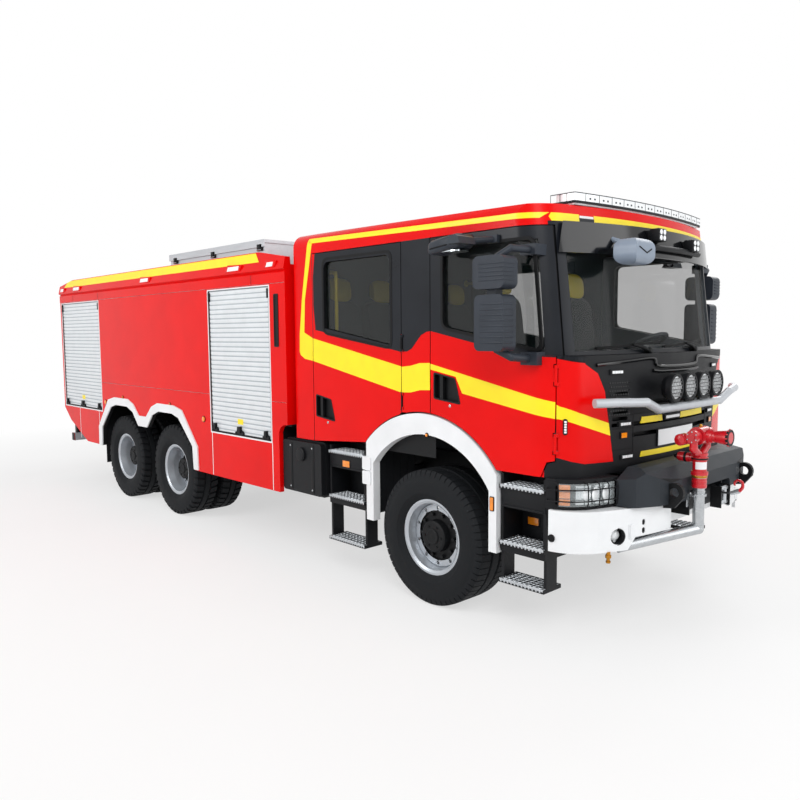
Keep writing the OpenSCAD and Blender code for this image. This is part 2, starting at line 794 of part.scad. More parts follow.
// A leaf-spring pack on the right side: columns of each leaf are half length and distance below the top leaf
module spring_pack(x, z, half, bow, leaves, w, y) {
  r = (half * half + bow * bow) / (2 * bow);
  for (i = [0:leaves - 1]) side_slab([y - w / 2, y + w / 2]) intersection() {
    difference() {
      translate([x, z + r]) circle(r + 16 * (i + 1), $fn = 180);
      translate([x, z + r]) circle(r, $fn = 180);
    }
    translate([x - half * (1 - 0.16 * i), z - 200]) square([2 * half * (1 - 0.16 * i), 700]);
  }
}

module front_axle() color(black) {
  spring_y = 425;
  pivot = king_pin_y - 62;
  rod([0, -pivot, axle_z], [0, pivot, axle_z], 62);
  translate([0, 130, axle_z]) rotate([90, 0, 0]) rotate_extrude()
    polygon([[0, -190], [90, -170], [175, -60], [175, 60], [90, 170], [0, 190]]);
  both_sides() {
    difference() {
      union() {
        translate([0, -king_pin_y, axle_z - 75]) cylinder(h = 150, r = 52);
        rod([0, -king_pin_y + 30, axle_z], [0, -pivot + 20, axle_z], 48);
      }
      translate([0, -king_pin_y, axle_z - 80]) cylinder(h = 160, r = king_pin_r + bore_gap);
    }
    block([-75, -spring_y - 45, axle_z], [75, -spring_y + 45, axle_z + 96]);
    spring_pack(0, axle_z + 140, 560, 95, 3, 84, spring_y);
    for (x = [-590, 590]) block([x - 35, -spring_y - 30, axle_z + 215], [x + 35, -spring_y + 30, rail_z]);
    for (x = [-30, 30]) translate([x - 20, -spring_y - 20, axle_z + 90]) cube([40, 40, 20]);
  }
}

// Two driven axles on inverted springs that rock on a cross tube
module rear_axles() color(black) {
  spring_y = 470;
  end = rear_outer_y - twin_gap - rear_tyre_w / 2 - 30;
  for (x = [lead_x, trail_x]) translate([x, 0, axle_z]) {
    rod([0, -end, 0], [0, end, 0], 66);
    both_sides() rod([0, -end + 2, 0], [0, -rear_outer_y + 60, 0], spindle_r);
    rotate([90, 0, 0]) rotate_extrude()
      polygon([[0, -210], [100, -185], [185, -70], [185, 70], [100, 185], [0, 210]]);
    both_sides() block([-70, -spring_y - 40, 40], [70, -spring_y + 40, 104]);
  }
  both_sides() {
    side_slab([spring_y - 40, spring_y + 40]) polygon([
      [trail_x - 90, axle_z + 100], [trail_x - 90, axle_z + 125], [tandem_mid - 110, axle_z + 205],
      [tandem_mid + 110, axle_z + 205], [lead_x + 90, axle_z + 125], [lead_x + 90, axle_z + 100],
      [tandem_mid + 110, axle_z + 118], [tandem_mid - 110, axle_z + 118]
    ]);
    block([tandem_mid - 90, -spring_y - 36, axle_z + 200], [tandem_mid + 90, -rail_half + 14, rail_z]);
  }
  rod([lead_x + 180, 0, axle_z + 20], [-1566, 0, 815], 45);
  rod([trail_x + 180, 0, axle_z], [lead_x - 180, 0, axle_z], 42);
}

// Engine and gearbox as plain masses between the rails
module engine() color("#5a5e62") {
  half = 325;
  block([-620, -half, 745], [1120, half, floor_z - 75]);
  block([-1560, -210, 720], [-615, 210, 1130]);
  both_sides() for (x = [-480, 820]) block([x, -rail_half + 12, rail_z + 110], [x + 120, -half + 1, rail_z + 170]);
}

// Steering knuckle on the right: king pin, two ears, spindle
module knuckle() color(black) {
  ear = 40;
  boss = 76;
  translate([0, -king_pin_y, axle_z - boss - ear]) cylinder(h = 2 * (boss + ear), r = king_pin_r);
  for (z = [axle_z - boss - ear, axle_z + boss]) {
    translate([0, -king_pin_y, z]) cylinder(h = ear, r = 55);
    block([-45, -king_pin_y - 105, z], [45, -king_pin_y, z + ear]);
  }
  block([-60, -king_pin_y - 125, axle_z - boss - ear], [60, -king_pin_y - 88, axle_z + boss + ear]);
  rod([0, -king_pin_y - 110, axle_z], [0, -front_tyre_y - 60, axle_z], spindle_r);
}

// Wheels, drawn on their own axis: z runs outward along the axle from the tyre's middle

// A rim with its disc: disc is how far out the disc's face sits
module rim(width, disc) {
  half = width / 2;
  difference() {
    rotate_extrude($fn = 96) polygon([
      [rim_r - 24, -half + 10], [rim_r - 6, -half], [rim_lip_r, -half], [rim_lip_r, -half + 10], [rim_r, -half + 18],
      [rim_r - 4, -half + 60], [rim_r - 26, -half + 96], [rim_r - 26, half - 96], [rim_r - 4, half - 60],
      [rim_r, half - 18], [rim_lip_r, half - 10], [rim_lip_r, half], [rim_r - 6, half], [rim_r - 24, half - 12],
      [rim_r - 38, half - 90], [rim_r - 44, disc], [rim_r - 90, disc + 4], [hub_r - 10, disc - 24],
      [spindle_r + bore_gap, disc - 24], [spindle_r + bore_gap, disc - 40], [hub_r - 4, disc - 40],
      [rim_r - 92, disc - 12], [rim_r - 44, disc - 22], [rim_r - 40, -half + 96]
    ]);
    for (a = [0:36:324]) rotate(a + 18) translate([rim_r - 66, 0, disc - 60]) cylinder(h = 120, r = 15);
  }
}

// Hub cover with its ring of wheel nuts: face is how far out it reaches
module hub(disc, face, nut_r) {
  rotate_extrude($fn = 72) polygon([
    [spindle_r + bore_gap, disc - 30], [hub_r - 8, disc - 26], [hub_r - 8, disc - 12], [128, disc - 4], [122, face - 10],
    [108, face], [0, face], [0, face - 14], [spindle_r + bore_gap, face - 14]
  ]);
  for (a = [0:36:324]) rotate(a) translate([167.5, 0, disc - 16]) cylinder(h = 34, r = nut_r);
}

// Tyre section that follows its rim, with a rounded shoulder, sidewall bulge and four grooves
module tyre(width, rim_width) {
  half = width / 2;
  seat = rim_width / 2;
  tread = half - 22;
  groove = 12;
  step = tread * 2 / 5;
  gap = 0.3;
  grooves = [for (i = [0:3]) let (z = -tread + step * (i + 1))
    each [[tyre_r, z - 6], [tyre_r - groove, z - 4], [tyre_r - groove, z + 4], [tyre_r, z + 6]]];
  side = [
    [rim_lip_r + 26, half - 14], [400, half], [470, half - 8], [tyre_r - 24, half - 8], [tyre_r - 8, half - 13],
    [tyre_r, tread]
  ];
  bead = [
    [rim_r - 4 + gap, seat - 60], [rim_r + gap, seat - 18], [rim_lip_r + gap, seat - 10], [rim_lip_r + gap, seat + 2]
  ];
  far = concat(bead, side);
  near = [for (p = far) [p.x, -p.y]];
  rotate_extrude($fn = 96) polygon(concat(near, grooves, [for (i = [len(far) - 1:-1:0]) far[i]]));
}

// Puts a wheel on the right side at x and y, its outside facing right
module wheel_at(x, y) translate([x, -y, axle_z]) rotate([90, 0, 0]) children();

module front_rim() color(alloy) wheel_at(0, front_tyre_y) {
  rim(rim_w, 70);
  hub(70, 132, 14);
}
module front_tyre() color(black) wheel_at(0, front_tyre_y) tyre(front_tyre_w, rim_w);

// The twin rims of one axle end: the outer is dished, the inner faces it
module rear_rims(x) color(alloy) {
  wheel_at(x, rear_outer_y) {
    rim(twin_rim_w, -62);
    hub(-62, 40, 14);
  }
  wheel_at(x, rear_outer_y - twin_gap) rotate([180, 0, 0]) rim(twin_rim_w, -62);
  wheel_at(x, rear_outer_y) translate([0, 0, -twin_gap + 85]) difference() {
    cylinder(h = twin_gap - 180, r = 150);
    translate([0, 0, -1]) cylinder(h = twin_gap, r = spindle_r + bore_gap);
  }
}
module rear_tyres(x) color(black) for (y = [rear_outer_y, rear_outer_y - twin_gap])
  wheel_at(x, y) tyre(rear_tyre_w, twin_rim_w);

// Body

// The lower edge of a body side, from the rear corner round the wheel opening to the front
module body_side_outline() difference() {
  polygon([
    [body_rear, 1060], [body_rear + 225, 885], [body_rear + 820, body_z + 15], [arch_mid - 1300, body_z + 15],
    [arch_mid + 1300, body_z], [body_front - 140, body_z], [body_front - 140, 1185], [body_front - 110, 1235],
    [body_front - 60, 1260], [body_front, 1265], [body_front, body_top], [body_rear, body_top]
  ]);
  arch_outline(0);
  for (s = [front_locker, rear_locker]) translate([s[0], s[2]]) square([s[1] - s[0], shutter_top - s[2]]);
}

// One half of the wheel opening: columns are distance from its middle and height
arch_points = [[0, 990], [118, 990], [270, 1150], [433, 1206], [775, 1206], [931, 1168], [1240, 878], [1262, 560]];
arch_width = [[0, 127], [-14, 127], [-15, 100], [-23, 96], [40, 96], [79, 94], [108, 7], [98, 0]];
module arch_outline(grow) {
  half = [for (i = [0:len(arch_points) - 1]) arch_points[i] + grow * arch_width[i]];
  flip = [for (i = [len(half) - 1:-1:1]) [-half[i].x, half[i].y]];
  translate([arch_mid, 0]) polygon(concat(half, flip));
}

module body_sides() color(red) both_sides() side_slab([body_half - body_wall, body_half]) body_side_outline();

module body_ends() color(red) {
  inner = body_half - body_wall;
  block([body_front - body_wall, -inner, 1265], [body_front, inner, body_top]);
  front_slab([body_rear, body_rear + body_wall]) difference() {
    translate([-inner, 1060]) square([2 * inner, body_top - 1060]);
    translate([-back_half, back_z]) square([2 * back_half, shutter_top - back_z]);
  }
}

// Stepped floor of the lockers over the wheels
module body_floor() color(black) {
  inner = body_half - body_wall;
  t = 20;
  well = [arch_mid - 1290, arch_mid + 1290];
  low = rail_top_z;
  high = 1225;
  block([body_rear + body_wall, -inner, low], [well[0], inner, low + t]);
  block([well[0] - t, -inner, low], [well[0], inner, high + t]);
  block([well[0] - 1, -inner, high], [well[1] + 1, inner, high + t]);
  block([well[1], -inner, low], [well[1] + t, inner, high + t]);
  block([well[1], -inner, low], [body_front - 145, inner, low + t]);
  block([body_front - 165, -inner, low], [body_front - 145, inner, 1265]);
  block([body_front - 165, -inner, 1245], [body_front, inner, 1265]);
}

// Roof deck with raised edge rails whose ends are cut at an angle
module body_roof() color(red) {
  inner = body_half - 125;
  block([body_rear, -body_half + 20, body_top], [body_front, body_half - 20, deck_z]);
  both_sides() difference() {
    translate([body_front, 0, 0]) rotate([90, 0, -90]) linear_extrude(body_front - body_rear + 15) polygon([
      [-inner, body_top + 1], [-body_half, body_top], [-body_half, 2668], [-body_half + 14, 2682], [-body_half - 14, 2700],
      [-body_half + 26, rail_top], [-body_half + 60, rail_top], [-body_half + 75, deck_z + 30], [-inner, deck_z]
    ]);
    end_cut(body_front, 1);
    end_cut(body_rear - 15, -1);
  }
  for (x = [body_front - 60, body_rear + 10]) block([x, -body_half + 70, deck_z - 1], [x + 50, body_half - 70, deck_z + 120]);
}

// Slope that takes the upper corner off a rail's end
module end_cut(x, s) translate([x, 0, rail_top]) rotate([90, 0, 0]) translate([0, 0, -1400]) linear_extrude(2800)
  polygon([[-s * 520, 10], [s * 10, 10], [s * 10, -s * s * 75]]);

// A roller shutter: its slats face right, from x[0] to x[1] and z[0] to z[1]
module shutter(x, z) {
  n = floor((z[1] - z[0]) / slat);
  pitch = (z[1] - z[0]) / n;
  ribs = [for (i = [0:n - 1]) let (low = z[0] + i * pitch)
    each [[shutter_t - 4, low], [shutter_t, low + pitch * 0.3], [shutter_t, low + pitch * 0.75]]];
  profile = concat([[0, z[0]]], ribs, [[shutter_t - 4, z[1]], [0, z[1]]]);
  translate([x[1], 0, 0]) rotate([90, 0, -90]) linear_extrude(x[1] - x[0])
    polygon([for (p = profile) [body_half - shutter_set - shutter_t + p[0], p[1]]]);
}

module shutters() color("#d5dadd") {
  both_sides() mirror([0, 1, 0]) for (s = [front_locker, rear_locker]) shutter([s[0], s[1]], [s[2], shutter_top]);
  translate([body_rear + body_half, 0, 0]) rotate(-90) shutter([-back_half, back_half], [back_z, shutter_top]);
}

module arch_trim() color(white) both_sides() side_slab([body_half, body_half + trim_t]) difference() {
  intersection() {
    arch_outline(1);
    translate([arch_mid - 1500, body_z + 10]) square([3000, 1500]);
  }
  arch_outline(0);
}

// Mudflaps behind the wheels, tow hitch and the underrun bar
module rear_guard() color(black) {
  bar_z0 = 545;
  bar_half = body_half - 125;
  bar_x0 = -rear_reach;
  flap_x = arch_mid - 1330;
  both_sides() block([flap_x, -body_half + 70, 380], [flap_x + 12, 515 - body_half, rail_top_z]);
  block([bar_x0, -bar_half, bar_z0], [bar_x0 + 100, bar_half, bar_z0 + 110]);
  both_sides() block([bar_x0 + 98, -rail_half, bar_z0 + 10], [body_rear + 100, -rail_half + 80, rail_z]);
  both_sides() block([bar_x0 + 12, 40 - bar_half, bar_z0 + 109], [bar_x0 + 82, 430 - bar_half, bar_z0 + 250]);
}

// Ladder to the roof on the back of the body, left of the shutter
module rear_ladder() color(steel) {
  x = body_rear - 45;
  y = [body_half - 395, body_half - 125];
  foot = 1180;
  top = deck_z + 40;
  for (s = y) {
    rod([x, s, foot], [x, s, top], 17);
    for (z = [foot + 60, 2420]) rod([x, s, z], [body_rear, s, z], 11);
  }
  for (z = [foot + 140:270:top]) rod([x, y[0], z], [x, y[1], z], 13);
}

// Aluminium equipment box on the roof
box_x = [-2620 - box_len, -2620];
box_y = [-900, -380];
box_z = [deck_z, 3035];
box_wall = 12;
lid_t = 34;
module roof_box() color(alloy) {
  difference() {
    block([box_x[0], box_y[0], box_z[0]], [box_x[1], box_y[1], box_z[1]]);
    block([box_x[0] + box_wall, box_y[0] + box_wall, box_z[0] + box_wall], [box_x[1] - box_wall, box_y[1] - box_wall, box_z[1] + 1]);
  }
  for (x = box_hinges) {
    block([x - 60, box_y[1] - 1, box_z[1] - 70], [x - 5.5, box_y[1] + 8, box_z[1] - 6]);
    translate([x - 60, lid_axis.x, lid_axis.y]) rotate([0, 90, 0]) cylinder(h = 54.5, r = 9);
    block([x - 60, box_y[1], box_z[1] - 12], [x - 5.5, lid_axis.x, lid_axis.y]);
  }
}
box_hinges = [box_x[0] + 300, (box_x[0] + box_x[1]) / 2, box_x[1] - 300];
lid_axis = [box_y[1] + 16, box_z[1] + 6];

module roof_box_lid() color(alloy) {
  lift = 1;
  lip = 14;
  difference() {
    union() {
      block([box_x[0] - lip, box_y[0] - lip, box_z[1] + lift], [box_x[1] + lip, box_y[1], box_z[1] + lift + lid_t]);
      block([box_x[0] - lip, box_y[0] - lip, box_z[1] - 40], [box_x[1] + lip, box_y[0] - 6, box_z[1] + lift + 1]);
    }
    block([box_x[0] + 10, box_y[0] + 10, box_z[1]], [box_x[1] - 10, box_y[1] - 25, box_z[1] + lift + lid_t - 8]);
  }
  for (x = box_hinges) {
    translate([x, lid_axis.x, lid_axis.y]) rotate([0, 90, 0]) cylinder(h = 55, r = 9);
    block([x, box_y[1] - 8, box_z[1] + lift], [x + 55, lid_axis.x, lid_axis.y + 8]);
  }
}

// Two suction hoses in a cradle beside the box
module suction_hoses() color(black) {
  y = [-190, 0];
  r = 62;
  z = deck_z + 190;
  for (s = y) {
    rod([-5200, s, z], [-1960, s, z], r);
    rod([-5290, s, z], [-5199, s, z], r + 16);
    rod([-1961, s, z], [-1880, s, z], r + 16);
  }
  for (x = [-4900, -3600, -2300]) block([x, y[0] - 70, deck_z], [x + 40, y[1] + 70, z - 30]);
}

// Water monitor on the bumper

module monitor_riser() color(steel) {
  foot_y = 370 - cab_half;
  base = [monitor_x, monitor_y, 755];
  top = monitor_z - 270;
  pipe([[1410, foot_y, 675], base, [monitor_x, monitor_y, top]], pipe_r);
  block([1650.3, monitor_y - 70, 985], [monitor_x, monitor_y + 70, 1000]);
  translate([monitor_x, monitor_y, 985]) cylinder(h = 15, r = pipe_r + 11);
  translate([monitor_x, monitor_y, top - 90]) cylinder(h = 74, r = pipe_r + 8);
  translate([monitor_x, monitor_y, top - 20]) cylinder(h = 20, r = pipe_r + 12);
  translate([monitor_x, monitor_y, top - 1]) cylinder(h = 61, r = spigot_r);
}

// Lower swivel on the riser's spigot: column, drive and two waterways up to the barrel's trunnion
spigot_r = 30;
module monitor_swivel() color(red) difference() {
  swivel_form();
  translate([monitor_x, monitor_y, monitor_z - 271]) cylinder(h = 63, r = spigot_r + bore_gap);
  translate([monitor_x, monitor_y - 200, monitor_z]) rotate([-90, 0, 0]) cylinder(h = 400, r = 20 + bore_gap);
}

module swivel_form() translate([monitor_x, monitor_y, 0]) {
  low = monitor_z - 269.5;
  arm = 98;
  boss = [69, 128];
  gear = [-78, monitor_z - 25];
  // Rings of the column: columns are height above its foot, thickness, radius
  rings = [[0, 24, 56], [0, 150, 46], [104, 16, 55], [134, 16, 52]];
  for (ring = rings) translate([0, 0, low + ring[0]]) cylinder(h = ring[1], r = ring[2]);
  rod([-20, 0, low + 112], [-150, 0, low + 112], 28);
  rod([-60, 0, low + 112], [-140, 0, low + 112], 33);
  for (s = [-1, 1]) {
    pipe([[0, 0, low + 124], [0, s * arm, low + 186], [0, s * arm, monitor_z]], 27);
    rod([0, s * boss[0], monitor_z], [0, s * boss[1], monitor_z], 44);
  }
  rod([gear[0], -boss[0], gear[1]], [gear[0], -boss[1] - 10, gear[1]], 40);
  block([gear[0], -boss[1] + 12, gear[1] - 26], [0, -boss[0] - 8, gear[1] + 40]);
}

// Barrel on its trunnion, with the nozzle forward
module monitor_barrel() color(red) {
  trunnion = 134;
  reach = front_reach - monitor_x;
  // Steps of the barrel: columns are start, end, radius at each
  steps = [[0, 92, 44, 44], [58, 70, 49, 49], [90, 112, 36, 36], [reach - 98, reach - 14, 38, 50],
    [reach - 16, reach, 54, 54]];
  translate([monitor_x, monitor_y, monitor_z]) {
    rod([0, -trunnion, 0], [0, trunnion, 0], 20);
    rod([0, -62, 0], [0, 62, 0], 60);
    rotate([0, 90, 0]) for (step = steps) translate([0, 0, step[0]])
      cylinder(h = step[1] - step[0], r1 = step[2], r2 = step[3]);
  }
}

// Mirrors on the right front door, drawn from the cab's side: columns are low corner, high corner, edge radius
mirror_heads = [
  [[745, -330, 2380], [1000, -190, 2590], 45],
  [[745, -315, 1985], [985, -185, 2345], 40]
];
module mirrors() color(black) difference() {
  translate([0, -cab_half, 0]) {
    for (m = mirror_heads) side_slab([-m[1].y, -m[0].y]) round_rect([m[0].x, m[0].z], [m[1].x, m[1].z], m[2]);
    block([830, -285, 2340], [900, -215, 2390]);
    pipe([[975, 15, 2640], [940, -185, 2640], [880, -255, 2580]], 24);
    pipe([[985, 15, 1925], [950, -185, 1945], [870, -250, 2000]], 26);
    block([920, -50, 1890], [1050, 115, 1975]);
    block([900, -35, 2605], [1020, 165, 2675]);
    side_slab([175, 340]) polygon([[520, 2690], [640, 2690], [625, 2735], [600, 2748], [550, 2745]]);
    pipe([[660, -10, 2735], [590, -205, 2715]], 22);
    block([610, -30, 2710], [700, 15, 2762]);
  }
  cab_form(-0.3);
}

// Mirror that looks down on the front, on an arm from the visor
module front_mirror() color(black) difference() {
  y = 565 - cab_half;
  half = 125;
  x = [1300, 1465];
  z = [2545, 2715];
  union() {
    intersection() {
      front_slab(x) round_rect([y - half, z[0]], [y + half, z[1]], 70);
      side_slab([-y - half, half - y]) round_rect([x[0], z[0]], [x[1], z[1]], 55);
    }
    rod([1100, y, 2770], [x[0] + 60, y, z[1] - 40], 17);
  }
  visor_form(-seat_gap, visor_stand);
}

at_origin() chassis_frame();
at_origin() front_axle();
at_origin() rear_axles();
at_origin() engine();
at_origin() cab_shell();
at_origin() grille();
at_origin() windscreen();
at_origin() sun_visor();
at_origin() dashboard();
at_origin() seats();
at_origin() light_bar();
at_origin() bull_bar();
at_origin() spot_lamps();
at_origin() front_bumper();
at_origin() headlamps();
at_origin() winch_cover();
at_origin() front_fenders();
at_origin() cab_steps();
at_origin() side_tanks();
at_origin() monitor_riser();
at_origin() body_sides();
at_origin() body_ends();
at_origin() body_floor();
at_origin() body_roof();
at_origin() shutters();
at_origin() arch_trim();
at_origin() rear_guard();
at_origin() rear_ladder();
at_origin() roof_box();
at_origin() suction_hoses();
at_origin() roof_box_lid();
at_origin() knuckle();  // knuckle_right
at_origin() mirror([0, 1, 0]) knuckle();  // knuckle_left
at_origin() front_rim();  // front_rim_right
at_origin() mirror([0, 1, 0]) front_rim();  // front_rim_left
at_origin() front_tyre();  // front_tyre_right
at_origin() mirror([0, 1, 0]) front_tyre();  // front_tyre_left
at_origin() rear_rims(lead_x);  // lead_rims_right
at_origin() mirror([0, 1, 0]) rear_rims(lead_x);  // lead_rims_left
at_origin() rear_rims(trail_x);  // trail_rims_right
at_origin() mirror([0, 1, 0]) rear_rims(trail_x);  // trail_rims_left
at_origin() rear_tyres(lead_x);  // lead_tyres_right
at_origin() mirror([0, 1, 0]) rear_tyres(lead_x);  // lead_tyres_left
at_origin() rear_tyres(trail_x);  // trail_tyres_right
at_origin() mirror([0, 1, 0]) rear_tyres(trail_x);  // trail_tyres_left
at_origin() color(red) door(true);  // door_front_right
at_origin() mirror([0, 1, 0]) color(red) door(true);  // door_front_left
at_origin() color(red) door(false);  // door_rear_right
at_origin() mirror([0, 1, 0]) color(red) door(false);  // door_rear_left
at_origin() color(tint) door_glass(true);  // glass_front_right
at_origin() mirror([0, 1, 0]) color(tint) door_glass(true);  // glass_front_left
at_origin() color(tint) door_glass(false);  // glass_rear_right
at_origin() mirror([0, 1, 0]) color(tint) door_glass(false);  // glass_rear_left
at_origin() mirrors();  // mirrors_right
at_origin() mirror([0, 1, 0]) mirrors();  // mirrors_left
at_origin() front_mirror();
at_origin() monitor_swivel();
at_origin() monitor_barrel();
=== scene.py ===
"""Looks for the six-wheel fire truck: paint, stripes, glass, tyres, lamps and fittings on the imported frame.

Places are in metres from the front axle's centre line: x forward, y to the left, z up from the ground.
Form moves them into the frame when a piece is done. Side pieces are drawn on the right and mirrored.
"""

import json
import math

import bmesh
import bpy
from mathutils import Matrix, Vector


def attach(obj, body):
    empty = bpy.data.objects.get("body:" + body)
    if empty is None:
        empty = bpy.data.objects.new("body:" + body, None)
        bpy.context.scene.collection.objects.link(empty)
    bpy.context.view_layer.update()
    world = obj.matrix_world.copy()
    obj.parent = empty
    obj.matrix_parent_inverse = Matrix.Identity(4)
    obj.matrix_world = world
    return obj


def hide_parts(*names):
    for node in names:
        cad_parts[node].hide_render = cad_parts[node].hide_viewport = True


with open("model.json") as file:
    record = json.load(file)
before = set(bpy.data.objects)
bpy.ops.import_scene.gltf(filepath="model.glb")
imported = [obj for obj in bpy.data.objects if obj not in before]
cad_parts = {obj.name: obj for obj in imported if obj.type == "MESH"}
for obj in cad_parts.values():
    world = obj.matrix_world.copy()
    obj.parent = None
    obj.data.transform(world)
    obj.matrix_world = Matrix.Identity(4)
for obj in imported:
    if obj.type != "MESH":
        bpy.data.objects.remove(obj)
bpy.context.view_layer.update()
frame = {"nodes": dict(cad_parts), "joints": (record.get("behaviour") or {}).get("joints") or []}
NODES = frame["nodes"]
JOINTS = {joint["name"]: joint for joint in frame["joints"]}
AXLE_X = JOINTS["steer_right"]["pos_m"][0]
AXLE_Z = JOINTS["front_spin_right"]["pos_m"][2]
TO_FRAME = Matrix.Translation((AXLE_X, 0, 0))
MIRROR = Matrix.Scale(-1, 4, (0, 1, 0))
SIDES = ("right", "left")
CREASE = math.radians(32)
AHEAD, RIGHT, UP = (1, 0, 0), (0, -1, 0), (0, 0, 1)

# Sizes that the part's source gives, in metres
CAB_HALF, CAB_FRONT, CAB_CORNER, CAB_BOW = 1.215, 1.38, 0.28, 4.0
UPPER_HALF = 1.213
BELT, SCREEN_FRONT, VISOR_STAND = 1.95, 1.3, 0.095
RAKE, COS_RAKE = math.tan(math.radians(7)), math.cos(math.radians(7))
BODY_HALF, SHUTTER_FACE = 1.275, 1.267
TYRE_R = 0.53
LAMP_FACE = 1.51
BUMPER_FRONT, BUMPER_HALF, BUMPER_CORNER, BUMPER_BOW = 1.64, 1.232, 0.33, 2.4
FRONT_HANDLE, REAR_HANDLE = (0.084, 1.62), (-1.368, 1.379)
MIRROR_HEADS = [((0.745, -1.545, 2.38), (1.0, -1.405, 2.59)), ((0.745, -1.53, 1.985), (0.985, -1.4, 2.345))]


# Materials


def srgb(code):
    """Linear colour from a hex colour as it shows on a screen."""
    parts = [int(code[i : i + 2], 16) / 255 for i in (1, 3, 5)]
    return tuple(c / 12.92 if c <= 0.04045 else ((c + 0.055) / 1.055) ** 2.4 for c in parts) + (1,)


def blended(colour, factor):
    """A colour made lighter or darker by a factor."""
    return tuple(min(1, c * factor) for c in colour[:3]) + (1,)


def surface(name, code, rough, mottle=6, spread=0.1, grain=500, bump=0.05, stretch=(1, 1, 1), **sockets):
    """A painted, moulded or metal surface: broad noise shifts colour and gloss, fine grain makes the bump."""
    material = bpy.data.materials.new(name)
    material.use_nodes = True
    nodes, links = material.node_tree.nodes, material.node_tree.links
    shader = nodes["Principled BSDF"]
    coords = nodes.new("ShaderNodeTexCoord")
    mapping = nodes.new("ShaderNodeMapping")
    mapping.inputs["Scale"].default_value = stretch
    links.new(coords.outputs["Object"], mapping.inputs["Vector"])

    def noise(scale, detail):
        node = nodes.new("ShaderNodeTexNoise")
        node.inputs["Scale"].default_value = scale
        node.inputs["Detail"].default_value = detail
        links.new(mapping.outputs["Vector"], node.inputs["Vector"])
        return node.outputs["Fac"]

    broad, fine = noise(mottle, 5), noise(grain, 2)
    colour = srgb(code)
    ramp = nodes.new("ShaderNodeValToRGB")
    ramp.color_ramp.elements[0].position, ramp.color_ramp.elements[1].position = 0.3, 0.7
    ramp.color_ramp.elements[0].color = blended(colour, 1 - spread)
    ramp.color_ramp.elements[1].color = blended(colour, 1 + spread)
    links.new(broad, ramp.inputs["Fac"])
    links.new(ramp.outputs["Color"], shader.inputs["Base Color"])
    gloss = nodes.new("ShaderNodeMapRange")
    gloss.inputs["To Min"].default_value = rough * 0.8
    gloss.inputs["To Max"].default_value = min(1, rough * 1.2)
    links.new(broad, gloss.inputs["Value"])
    links.new(gloss.outputs["Result"], shader.inputs["Roughness"])
    relief = nodes.new("ShaderNodeBump")
    relief.inputs["Strength"].default_value = bump
    relief.inputs["Distance"].default_value = 0.002
    links.new(fine, relief.inputs["Height"])
    links.new(relief.outputs["Normal"], shader.inputs["Normal"])
    for socket, value in sockets.items():
        shader.inputs[socket.replace("_", " ")].default_value = value
    return material


def glass(name, code, alpha):
    """Thin tinted glazing: a dark see-through sheet with a bright sheen and a trace of dust."""
    material = surface(name, code, 0.03, mottle=3, spread=0.15, bump=0.0, Alpha=alpha, Specular_IOR_Level=0.9)
    material.surface_render_method = "BLENDED"
    return material


DULL = {"Specular_IOR_Level": 0.2}
RED = surface("red_paint", "#e00505", 0.22, mottle=2.5, spread=0.05, grain=900, bump=0.03, Coat_Weight=0.04,
              Coat_Roughness=0.05, Specular_IOR_Level=0.12)
YELLOW = surface("yellow_film", "#fbe106", 0.35, mottle=8, spread=0.04, grain=1500, bump=0.04)
WHITE = surface("white_plastic", "#e6e8ea", 0.35, mottle=5, spread=0.04, grain=800, bump=0.04)
CHARCOAL = surface("charcoal_film", "#171a20", 0.3, mottle=4, spread=0.14, grain=900, bump=0.05, **DULL)
PLASTIC = surface("black_plastic", "#121316", 0.48, mottle=7, spread=0.15, grain=1200, bump=0.22, **DULL)
GLOSS = surface("black_gloss", "#0c0d10", 0.12, mottle=4, spread=0.2, grain=600, bump=0.02)
GREY = surface("grey_housing", "#2b2f34", 0.5, mottle=6, spread=0.12, grain=900, bump=0.3, **DULL)
MIRROR_GREY = surface("mirror_grey", "#2f343c", 0.38, mottle=6, spread=0.12, grain=900, bump=0.12, **DULL)
# Mirror grey made lighter and bluer for the front mirror's housing: painted sky reflection on its tilted face
MIRROR_SHEEN_GREY = surface("mirror_grey_painted_sheen", "#7f8b9b", 0.36, mottle=6, spread=0.08, grain=900, bump=0.1)
FRAME_BLACK = surface("frame_black", "#0f1012", 0.5, mottle=9, spread=0.2, grain=250, bump=0.12, **DULL)
ENGINE = surface("engine_grey", "#4c5054", 0.6, mottle=12, spread=0.2, grain=300, bump=0.3, Metallic=0.3)
RUBBER = surface("tyre_rubber", "#141619", 0.72, mottle=14, spread=0.18, grain=420, bump=0.25, **DULL)
SEAL = surface("seal_rubber", "#0b0c0e", 0.6, mottle=10, spread=0.2, grain=900, bump=0.15, **DULL)
RIM = surface("rim_silver", "#b4b9bf", 0.34, mottle=10, spread=0.06, grain=700, bump=0.05, Metallic=0.55)
ALLOY = surface("alloy", "#c3c7cb", 0.36, mottle=20, spread=0.07, grain=700, bump=0.08, stretch=(0.15, 1, 1),
                Metallic=0.75)
STEEL = surface("stainless", "#b9bcbf", 0.26, mottle=25, spread=0.08, grain=500, bump=0.06, Metallic=0.9)
TUBE = surface("tube_grey", "#b9bdc2", 0.38, mottle=12, spread=0.06, grain=700, bump=0.05, Metallic=0.25)
SHUTTER = surface("shutter_white", "#dde1e4", 0.32, mottle=9, spread=0.035, grain=600, bump=0.04,
                  Metallic=0.15)
# Painted shade: the shutter's white made darker for the grooves between the slats
SHUTTER_SHADE = surface("shutter_painted_shade", "#a3aab0", 0.5, mottle=9, spread=0.05, grain=600, bump=0.04)
RED_CAST = surface("red_cast", "#c4101f", 0.28, mottle=14, spread=0.1, grain=350, bump=0.1, Coat_Weight=0.4)
BRASS = surface("brass", "#b9812f", 0.3, mottle=20, spread=0.12, grain=500, bump=0.1, Metallic=0.9)
AMBER = surface("amber_lens", "#f08a16", 0.15, mottle=40, spread=0.12, grain=260, bump=0.15, Coat_Weight=0.5)
